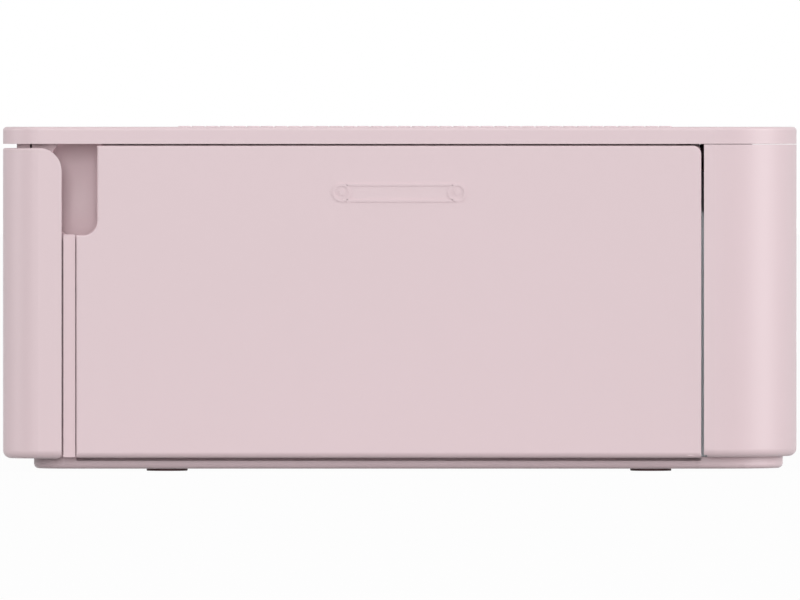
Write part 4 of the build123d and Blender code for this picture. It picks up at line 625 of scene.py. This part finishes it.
class Drawing:
    """A flat drawing whose shapes stand up from it, gathered in one bmesh."""

    def __init__(self) -> None:
        """Starts an empty drawing."""
        self.bm = bmesh.new()

    def _settle(self, verts: Iterable[bmesh.types.BMVert], u: float, v: float,
                turn: float) -> None:
        """Turns new vertices about the drawing's origin and moves them to u, v."""
        spot = Matrix.Translation((u, v, 0)) @ Matrix.Rotation(math.radians(turn), 4, "Z")
        bmesh.ops.transform(self.bm, matrix=spot, verts=list(verts))

    def bar(self, u: float, v: float, length: float, width: float, height: float,
            turn: float = 0.0, corner: float = 0.0, base: float = 0.0,
            steps: int = 4, crown: float = 0.0) -> None:
        """Adds a bar with round corners.

        Args:
            u: the bar's middle, to the right.
            v: the bar's middle, upward.
            length: along the bar.
            width: across the bar.
            height: how far it stands up.
            turn: degrees that the bar is turned.
            corner: radius of its corners in plan.
            base: how far its underside stands off the drawing.
            steps: segments round each corner.
            crown: size of the bevel round its top.
        """
        new = bmesh.ops.create_cube(self.bm, size=1.0)["verts"]
        bmesh.ops.scale(self.bm, vec=(length, width, height), verts=new)
        bmesh.ops.translate(self.bm, vec=(0, 0, base + height / 2), verts=new)
        if corner:
            upright = [e for e in {e for w in new for e in w.link_edges}
                       if abs(e.verts[0].co.z - e.verts[1].co.z) > height / 2]
            bmesh.ops.bevel(self.bm, geom=upright, offset=corner, offset_type="OFFSET",
                            segments=steps, profile=0.5, affect="EDGES", material=-1)
        new = self._island(new)
        if crown:
            top = base + height
            rim = [e for e in {e for w in new for e in w.link_edges}
                   if all(abs(w.co.z - top) < 1e-4 for w in e.verts)]
            bmesh.ops.bevel(self.bm, geom=rim, offset=crown, offset_type="OFFSET",
                            segments=2, profile=0.5, affect="EDGES", material=-1)
            new = self._island(new)
        self._settle(new, u, v, turn)

    def _island(self, seed: Iterable[bmesh.types.BMVert]) -> list[bmesh.types.BMVert]:
        """Returns the vertices of the newest loose shape.

        Args:
            seed: vertices that it had before an operator worked on it.

        Returns:
            Those still there and all that they join, or, where none is left, the shape that
            the last vertex belongs to.
        """
        self.bm.verts.ensure_lookup_table()
        start = [w for w in seed if w.is_valid] or [self.bm.verts[-1]]
        found, front = set(start), list(start)
        while front:
            vert = front.pop()
            for edge in vert.link_edges:
                other = edge.other_vert(vert)
                if other not in found:
                    found.add(other)
                    front.append(other)
        return list(found)

    def disc(self, u: float, v: float, radius: float, height: float, segments: int = 40,
             base: float = 0.0) -> None:
        """Adds a round disc.

        Args:
            u: its middle, to the right.
            v: its middle, upward.
            radius: its radius.
            height: how far it stands up.
            segments: sides of its rim.
            base: how far its underside stands off the drawing.
        """
        new = bmesh.ops.create_circle(self.bm, cap_ends=True, radius=radius,
                                      segments=segments)["verts"]
        self._raise(new, height, base)
        self._settle(self._island(new), u, v, 0)

    def tip(self, u: float, v: float, radius: float, height: float, turn: float) -> None:
        """Adds a triangle that points to the right before it is turned.

        Args:
            u: its middle, to the right.
            v: its middle, upward.
            radius: from its middle to its corners.
            height: how far it stands up.
            turn: degrees that it is turned.
        """
        new = bmesh.ops.create_circle(self.bm, cap_ends=True, radius=radius,
                                      segments=3)["verts"]
        ahead = max(new, key=lambda w: w.co.x)
        bearing = math.atan2(ahead.co.y, ahead.co.x)
        bmesh.ops.rotate(self.bm, matrix=Matrix.Rotation(-bearing, 3, "Z"), verts=new)
        self._raise(new, height, 0)
        self._settle(self._island(new), u, v, turn)

    def _raise(self, verts: Sequence[bmesh.types.BMVert], height: float,
               base: float) -> None:
        """Thickens the flat face that joins these vertices."""
        face = next(f for f in verts[0].link_faces)
        grown = bmesh.ops.extrude_face_region(self.bm, geom=[face])["geom"]
        moved = [g for g in grown if isinstance(g, bmesh.types.BMVert)]
        bmesh.ops.translate(self.bm, vec=(0, 0, height), verts=moved)
        bmesh.ops.translate(self.bm, vec=(0, 0, base), verts=self._island(verts))

    def arc(self, u: float, v: float, outer: float, inner: float, height: float,
            start: float = 0.0, sweep: float = 360.0, segments: int = 48,
            base: float = 0.0) -> None:
        """Adds a ring, or a part of one.

        Args:
            u: its centre, to the right.
            v: its centre, upward.
            outer: its outer radius.
            inner: its inner radius.
            height: how far it stands up.
            start: degrees where it begins, from the right.
            sweep: degrees that it covers.
            segments: sides round a full ring.
            base: how far its underside stands off the drawing.
        """
        corners = ((inner, base), (outer, base), (outer, base + height),
                   (inner, base + height))
        verts = [self.bm.verts.new((r, 0, z)) for r, z in corners]
        edges = [self.bm.edges.new((a, b)) for a, b in zip(verts, verts[1:] + verts[:1])]
        full = sweep >= 360
        steps = max(3, round(segments * sweep / 360))
        bmesh.ops.spin(self.bm, geom=verts + edges, cent=(0, 0, 0), axis=(0, 0, 1),
                       angle=math.radians(sweep), steps=steps, use_merge=full,
                       use_duplicate=False)
        new = self._island(verts)
        if not full:
            rims = [e for e in {e for w in new for e in w.link_edges} if e.is_boundary]
            bmesh.ops.holes_fill(self.bm, edges=rims, sides=4)
        self._settle(new, u, v, start)

    def laid(self, place: Matrix) -> "Drawing":
        """Moves everything drawn so far from the flat drawing to its place.

        Args:
            place: the transform that Face.at gives.

        Returns:
            This drawing.
        """
        bmesh.ops.transform(self.bm, matrix=place, verts=self.bm.verts[:])
        return self


@dataclass
class Workshop:
    """Turns drawings into pieces that ride on the frame."""

    shop: FinishShop
    smooth_degrees: float = 35.0

    def piece(self, name: str, drawing: Drawing, body: str, slot: str,
              finish: Finish) -> bpy.types.Object:
        """Makes a piece out of a drawing.

        Args:
            name: the piece's name.
            drawing: its shapes, in place, in mm.
            body: the CAD body that it moves with.
            slot: the record's material slot; not used.
            finish: the finish that it gets.

        Returns:
            The piece's object.
        """
        bm = drawing.bm
        bmesh.ops.recalc_face_normals(bm, faces=bm.faces[:])
        bmesh.ops.scale(bm, vec=(MM, MM, MM), verts=bm.verts[:])
        mesh = bpy.data.meshes.new(name)
        bm.to_mesh(mesh)
        bm.free()
        mesh.shade_smooth()
        mesh.set_sharp_from_angle(angle=math.radians(self.smooth_degrees))
        mesh.materials.append(self.shop.get(finish))
        made = bpy.data.objects.new(name, mesh)
        bpy.context.scene.collection.objects.link(made)
        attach(made, body)
        LOG.info("piece %s on %s: %d faces", name, body, len(mesh.polygons))
        return made


# ---------------------------------------------------------------------------------------------
# The printer's sub-assemblies
# ---------------------------------------------------------------------------------------------

@dataclass
class CadDress:
    """Gives every carried-over CAD node the finish of its material slot."""

    shop: FinishShop

    def dress(self) -> None:
        """Puts one finish on each CAD node."""
        for part in frame["record"]["subparts"]:
            finish = SLOT_FINISHES[part["material_slot"]]
            materials = frame["nodes"][part["node"]].data.materials
            materials.clear()
            materials.append(self.shop.get(finish))
            LOG.info("node %s: %s", part["node"], finish.name)


@dataclass
class GripPattern:
    """The embossed grip pattern along both edges of the top cover."""

    work: Workshop
    top: float = 57.6
    edge_column: float = 87.0
    columns: int = 3
    column_pitch: float = 2.6
    front: float = -38.4
    rear: float = 48.4
    row_pitch: float = 4.6
    length: float = 2.1
    width: float = 0.9
    height: float = 0.14
    corner: float = 0.43
    crown: float = 0.06

    def build(self) -> None:
        """Embosses staggered rows of short bars, one piece for each edge."""
        rows = int((self.rear - self.front) / self.row_pitch)
        for name, side in (("grip_pattern_right", 1), ("grip_pattern_left", -1)):
            drawing = Drawing()
            for column in range(self.columns):
                stagger = 0.5 + 0.5 * (column % 2)
                u = side * (self.edge_column - column * self.column_pitch)
                for row in range(rows):
                    v = self.front + self.row_pitch * (row + stagger)
                    drawing.bar(u, v, self.length, self.width, self.height + ROOT, turn=90,
                                corner=self.corner, base=-ROOT, steps=3, crown=self.crown)
            drawing.laid(Face.TOP.at(0, 0, self.top))
            self.work.piece(name, drawing, "printer", "pink_plastic", PINK_ABS)


@dataclass
class KeySymbols:
    """The generic symbols printed on the keys, each drawn about the middle of its key."""

    work: Workshop
    key_top: float = 57.5
    ink: float = 0.04
    ink_root: float = 0.005
    line: float = 0.32
    thin_line: float = 0.3
    row_gap: float = 0.9
    ring_reach: float = 11.2

    def build(self) -> None:
        """Prints every symbol, a hair into its key so that no gap shows."""
        for name, draw, key, body in (
            ("power_symbol", self._power, (72.0, 32.0), "power_button"),
            ("menu_symbol", self._menu, (32.0, 14.0), "menu_button"),
            ("edit_symbol", self._edit, (50.0, 14.0), "edit_button"),
            ("back_symbol", self._back, (68.0, 14.0), "back_button"),
            ("print_symbol", self._print, (50.0, -42.0), "print_button"),
            ("select_symbol", self._select, (50.0, -14.0), "ok_button"),
            ("arrow_symbols", self._arrows, (50.0, -14.0), "navigation_ring"),
        ):
            drawing = Drawing()
            draw(drawing)
            drawing.laid(Face.TOP.at(*key, self.key_top - self.ink_root))
            self.work.piece(name, drawing, body, "key_plastic", SYMBOL_INK)

    def _power(self, drawing: Drawing) -> None:
        """Draws an open ring with a stroke in its gap."""
        drawing.arc(0, 0, 1.15, 0.85, self.ink, start=120, sweep=300)
        drawing.bar(0, 0.75, self.thin_line, 1.1, self.ink)

    def _menu(self, drawing: Drawing) -> None:
        """Draws three rows."""
        for row in (-1, 0, 1):
            drawing.bar(0, row * self.row_gap, 3.0, self.line, self.ink, corner=0.12)

    def _edit(self, drawing: Drawing) -> None:
        """Draws two sliders."""
        for row in (-1, 1):
            drawing.bar(0, row * self.row_gap, 3.4, 0.26, self.ink)
            drawing.disc(row * 0.7, row * self.row_gap, 0.45, self.ink * 1.5, 24)

    def _back(self, drawing: Drawing) -> None:
        """Draws an arrow that turns back to the left."""
        drawing.arc(0.1, -0.1, 1.15, 0.83, self.ink, start=270, sweep=200)
        drawing.bar(-0.55, 0.9, 1.4, self.line, self.ink)
        drawing.tip(-1.4, 0.9, 0.72, self.ink, turn=180)

    def _print(self, drawing: Drawing) -> None:
        """Draws a sheet with an arrow down into it."""
        for v in (1.75, -1.75):
            drawing.bar(0, v, 3.2, self.thin_line, self.ink)
        for u in (1.45, -1.45):
            drawing.bar(u, 0, self.thin_line, 3.2, self.ink)
        drawing.bar(0, 0.35, 0.35, 1.6, self.ink)
        drawing.tip(0, -0.6, 0.75, self.ink, turn=270)

    def _select(self, drawing: Drawing) -> None:
        """Draws a dot."""
        drawing.disc(0, 0, 1.0, self.ink)

    def _arrows(self, drawing: Drawing) -> None:
        """Draws an arrow head at each quarter of the navigation ring."""
        for turn in (0, 90, 180, 270):
            bearing = math.radians(turn)
            drawing.tip(self.ring_reach * math.cos(bearing),
                        self.ring_reach * math.sin(bearing), 1.1, self.ink, turn)


@dataclass
class InkDoor:
    """The raised pictogram on the ink door's face."""

    work: Workshop
    face_x: float = 91.1
    middle_y: float = -0.1
    middle_z: float = 46.6
    length: float = 22.4
    height: float = 3.1
    line: float = 0.42
    core: float = 0.45
    film_inset: float = 0.8
    relief: float = 0.12

    def build(self) -> None:
        """Builds a pictogram of a ribbon cassette: two spools joined by a film."""
        drawing = Drawing()
        stand = self.relief + ROOT
        radius = self.height / 2
        reach = self.length / 2 - radius
        for side in (-1, 1):
            drawing.arc(side * reach, 0, radius, radius - self.line, stand, base=-ROOT)
            drawing.disc(side * reach, 0, self.core, stand, 24, base=-ROOT)
            drawing.bar(0, side * (radius - self.line / 2), 2 * (reach - self.film_inset),
                        self.line, stand, base=-ROOT)
        drawing.laid(Face.RIGHT.at(self.face_x, self.middle_y, self.middle_z))
        self.work.piece("door_pictogram", drawing, "ink_door", "pink_plastic", PINK_ABS)


@dataclass
class ChassisFront:
    """The raised card pictogram over the card slot, behind the front cover."""

    work: Workshop
    x: float = -65.55
    y: float = -64.2
    z: float = 45.2
    width: float = 4.6
    height: float = 5.6
    line: float = 0.4
    contact: float = 1.1
    contact_drop: float = 1.2
    relief: float = 0.12

    def build(self) -> None:
        """Builds the outline of a memory card with its row of contacts."""
        drawing = Drawing()
        stand = self.relief + ROOT
        for side in (-1, 1):
            drawing.bar(side * self.width / 2, 0, self.line, self.height + self.line, stand,
                        base=-ROOT)
            drawing.bar(0, side * self.height / 2, self.width - self.line, self.line, stand,
                        base=-ROOT)
        for step in (-1, 0, 1):
            drawing.bar(step * self.contact, self.height / 2 - self.contact_drop, self.line,
                        self.contact, stand, base=-ROOT)
        drawing.laid(Face.FRONT.at(self.x, self.y, self.z))
        self.work.piece("card_pictogram", drawing, "printer", "frame_plastic", FRAME_ABS)


@dataclass
class Cassette:
    """The raised turning arrows on the ink cassette's end, one round each spool."""

    work: Workshop
    face_x: float = 85.6
    spools_y: Point = (-22.0, 30.0)
    spool_z: float = 34.8
    radius: float = 8.2
    line: float = 0.7
    start: float = 60.0
    sweep: float = 110.0
    head_bearing: float = 56.0
    head_turn: float = -30.0
    head_size: float = 1.3
    relief: float = 0.15

    def build(self) -> None:
        """Builds both arrows."""
        drawing = Drawing()
        middle = self.radius - self.line / 2
        bearing = math.radians(self.head_bearing)
        for y in self.spools_y:
            drawing.arc(y, 0, self.radius, self.radius - self.line, self.relief + ROOT,
                        self.start, self.sweep, 60, -ROOT)
            drawing.tip(y + middle * math.cos(bearing), middle * math.sin(bearing),
                        self.head_size, self.relief, self.head_turn)
        drawing.laid(Face.RIGHT.at(self.face_x, 0, self.spool_z))
        self.work.piece("cassette_arrows", drawing, "printer", "cassette_plastic",
                        CASSETTE_PS)


@dataclass(frozen=True)
class ContactRow:
    """A row of equal contacts, given by its middle and by one contact's size."""

    middle: tuple[float, float, float]
    count: int
    pitch: float
    across: float
    along: float
    height: float
    crown: float
    root: float


@dataclass
class Sockets:
    """The contacts inside the power, data and card sockets."""

    work: Workshop
    jack: tuple[float, float, float] = (-70.1, 54.2, 11.0)
    pin_radius: float = 1.0
    pin_length: float = 7.6
    pin_tip_radius: float = 0.75
    pin_tip_length: float = 0.3
    data: ContactRow = ContactRow((-85.2, -20.0, 39.35), 5, 0.8, 4.4, 0.4, 0.06, 0.0, 0.01)
    card: ContactRow = ContactRow((-65.55, -42.0, 37.95), 8, 2.5, 1.1, 5.0, 0.25, 0.08, 0.02)

    def build(self) -> None:
        """Builds the power pin and the two rows of contacts."""
        pin = Drawing()
        pin.disc(0, 0, self.pin_radius, self.pin_length, 32)
        pin.disc(0, 0, self.pin_tip_radius, self.pin_tip_length, 32, self.pin_length)
        pin.laid(Face.REAR.at(*self.jack))
        self.work.piece("power_pin", pin, "printer", "socket_metal", SOCKET_TIN)
        self._row("data_contacts", self.data, (0, 1))
        self._row("card_contacts", self.card, (1, 0))

    def _row(self, name: str, row: ContactRow, way: Point) -> None:
        """Builds one row of contacts.

        Args:
            name: the piece's name.
            row: the row's place and sizes.
            way: the direction that the row runs in, to the right and upward.
        """
        drawing = Drawing()
        for step in range(row.count):
            reach = (step - (row.count - 1) / 2) * row.pitch
            drawing.bar(reach * way[0], reach * way[1], row.across, row.along, row.height,
                        base=-row.root, crown=row.crown)
        drawing.laid(Face.TOP.at(*row.middle))
        self.work.piece(name, drawing, "printer", "socket_metal", GOLD_FLASH)


@dataclass
class Underside:
    """The blank rating plate on the base, and the painted shade of its screws' cross recesses.
    """

    work: Workshop
    x: float = 20.0
    y: float = 8.0
    length: float = 62.0
    width: float = 34.0
    corner: float = 2.0
    thickness: float = 0.12
    plate_root: float = 0.02
    screw_face: float = 0.6
    screws: tuple[Point, ...] = ((-80.1, 56.0), (80.1, 56.0), (-83.6, -54.0), (-83.6, 24.0))
    drive_turns: Point = (20.0, 110.0)
    drive_length: float = 2.8
    drive_width: float = 0.55
    drive_height: float = 0.03
    drive_root: float = 0.01

    def build(self) -> None:
        """Builds the plate, and the painted shade in the screw heads."""
        self.plate()
        self.painted_recess_shade()

    def plate(self) -> None:
        """Sticks the blank plate on the base."""
        drawing = Drawing()
        drawing.bar(0, 0, self.length, self.width, self.thickness, corner=self.corner,
                    base=-self.plate_root)
        low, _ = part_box("base_tray")
        drawing.laid(Face.BASE.at(self.x, self.y, low.z / MM))
        self.work.piece("rating_plate", drawing, "printer", "pink_plastic", PLATE_FILM)

    def painted_recess_shade(self) -> None:
        """Sets a dark cross in each screw head: painted shade that stands for the shaded
        hollow of a cross recess seen from outside.
        """
        drawing = Drawing()
        for x, y in self.screws:
            for turn in self.drive_turns:
                drawing.bar(x, -y, self.drive_length, self.drive_width, self.drive_height,
                            turn, base=-self.drive_root)
        drawing.laid(Face.BASE.at(0, 0, self.screw_face))
        # The dark cross is painted shade of each recess, not a colour that the screw has.
        self.work.piece("screw_painted_recess_shade", drawing, "printer", "screw_steel", BLACK_ABS)


# ---------------------------------------------------------------------------------------------
# Studio
# ---------------------------------------------------------------------------------------------

@dataclass(frozen=True)
class Softbox:
    """A square soft light, given by how much it adds to a surface that faces it."""

    name: str
    place: tuple[float, float, float]
    size: float
    share: float


@dataclass
class Studio:
    """Camera, floor, world and soft lights."""

    camera_distance: float = 3.0
    side_plane: float = 0.0911
    camera_height: float = 0.0543
    aim_height: float = 0.02866
    aim_y: float = -0.00005
    frame_width: float = 0.13366
    sensor: float = 36.0
    view_range: Point = (0.1, 50.0)
    lamp_aim: tuple[float, float, float] = (0.0, 0.0, 0.03)
    world_light: float = 0.155
    floor_shine: float = 0.97
    floor_half: float = 8.0
    floor_drop: float = 0.05
    paper: str = "#b4b2b2"
    paper_roughness: float = 0.9
    lights: tuple[Softbox, ...] = (
        Softbox("rear_softbox", (0.65, 1.8, 0.55), 1.1, 0.59),
        Softbox("front_softbox", (0.65, -1.8, 0.55), 1.1, 0.29),
        Softbox("overhead_softbox", (0.6, -0.2, 2.2), 1.6, 0.23),
        Softbox("camera_softbox", (2.6, -0.2, 0.75), 1.2, 0.385),
    )

    def build(self) -> None:
        """Sets up everything that isn't part of the object."""
        self.camera()
        self.floor()
        self.world()
        for light in self.lights:
            self.softbox(light)
        bpy.context.scene.view_settings.view_transform = "Standard"

    def camera(self) -> None:
        """Sets the long lens square on to the printer's right side."""
        data = bpy.data.cameras.new("camera")
        data.sensor_width = self.sensor
        data.lens = self.sensor * self.camera_distance / self.frame_width
        data.clip_start, data.clip_end = self.view_range
        camera = bpy.data.objects.new("camera", data)
        bpy.context.scene.collection.objects.link(camera)
        place = Vector((self.side_plane + self.camera_distance, self.aim_y,
                        self.camera_height))
        aim = Vector((self.side_plane, self.aim_y, self.aim_height))
        camera.location = place
        camera.rotation_euler = (aim - place).to_track_quat("-Z", "Y").to_euler()
        bpy.context.scene.camera = camera

    def floor(self) -> None:
        """Lays a white sweep, which keeps a little of the printer's shadow."""
        bm = bmesh.new()
        bmesh.ops.create_grid(bm, x_segments=1, y_segments=1, size=self.floor_half)
        bmesh.ops.translate(bm, vec=(0, 0, -self.floor_drop * MM), verts=bm.verts[:])
        mesh = bpy.data.meshes.new("floor")
        bm.to_mesh(mesh)
        bm.free()
        floor = bpy.data.objects.new("floor", mesh)
        bpy.context.scene.collection.objects.link(floor)
        material, tree = fresh_tree("white paper sweep")
        paper = add_node(tree, "ShaderNodeBsdfPrincipled",
                         values={"Base Color": linear(self.paper),
                                 "Roughness": self.paper_roughness})
        white = add_node(tree, "ShaderNodeEmission", values={"Strength": 1.0})
        share = add_node(tree, "ShaderNodeMath", operation="MULTIPLY",
                         links={0: self._seen(tree)}, values={1: self.floor_shine})
        mixed = add_node(tree, "ShaderNodeMixShader",
                         links={0: share.outputs[0], 1: paper.outputs["BSDF"],
                                2: white.outputs["Emission"]})
        add_node(tree, "ShaderNodeOutputMaterial",
                 links={"Surface": mixed.outputs["Shader"]})
        mesh.materials.append(material)

    @staticmethod
    def _seen(tree: bpy.types.NodeTree) -> bpy.types.NodeSocket:
        """Returns 1 for rays from the camera, a mirror-like surface or clear glass."""
        path = add_node(tree, "ShaderNodeLightPath")
        glossy = add_node(tree, "ShaderNodeMath", operation="MAXIMUM",
                          links={0: path.outputs["Is Camera Ray"],
                                 1: path.outputs["Is Glossy Ray"]})
        clear = add_node(tree, "ShaderNodeMath", operation="MAXIMUM",
                         links={0: glossy.outputs[0],
                                1: path.outputs["Is Transmission Ray"]})
        return clear.outputs[0]

    def world(self) -> None:
        """Gives the room an even light, and a white background where it is seen."""
        world = bpy.data.worlds.new("studio")
        world.use_nodes = True
        tree = world.node_tree
        tree.nodes.clear()
        room = add_node(tree, "ShaderNodeBackground", values={"Strength": self.world_light})
        white = add_node(tree, "ShaderNodeBackground", values={"Strength": 1.0})
        for node in (room, white):
            node.inputs["Color"].default_value = linear("#ffffff")
        mixed = add_node(tree, "ShaderNodeMixShader",
                         links={0: self._seen(tree), 1: room.outputs[0],
                                2: white.outputs[0]})
        add_node(tree, "ShaderNodeOutputWorld", links={"Surface": mixed.outputs[0]})
        bpy.context.scene.world = world

    def softbox(self, light: Softbox) -> None:
        """Hangs one soft light, aimed at the printer.

        Args:
            light: its place, size and share of the light.
        """
        data = bpy.data.lights.new(light.name, "AREA")
        data.shape = "SQUARE"
        data.size = light.size
        away = Vector(self.lamp_aim) - Vector(light.place)
        data.energy = light.share * math.pi ** 2 * away.length_squared
        lamp = bpy.data.objects.new(light.name, data)
        bpy.context.scene.collection.objects.link(lamp)
        lamp.location = light.place
        lamp.rotation_euler = away.to_track_quat("-Z", "Y").to_euler()


def main() -> None:
    """Builds the studio and every sub-assembly."""
    logging.basicConfig(level=logging.INFO, format="%(name)s: %(message)s")
    Studio().build()
    shop = FinishShop()
    work = Workshop(shop)
    CadDress(shop).dress()
    GripPattern(work).build()
    KeySymbols(work).build()
    InkDoor(work).build()
    ChassisFront(work).build()
    Cassette(work).build()
    Sockets(work).build()
    Underside(work).build()


if __name__ == "__main__":
    main()
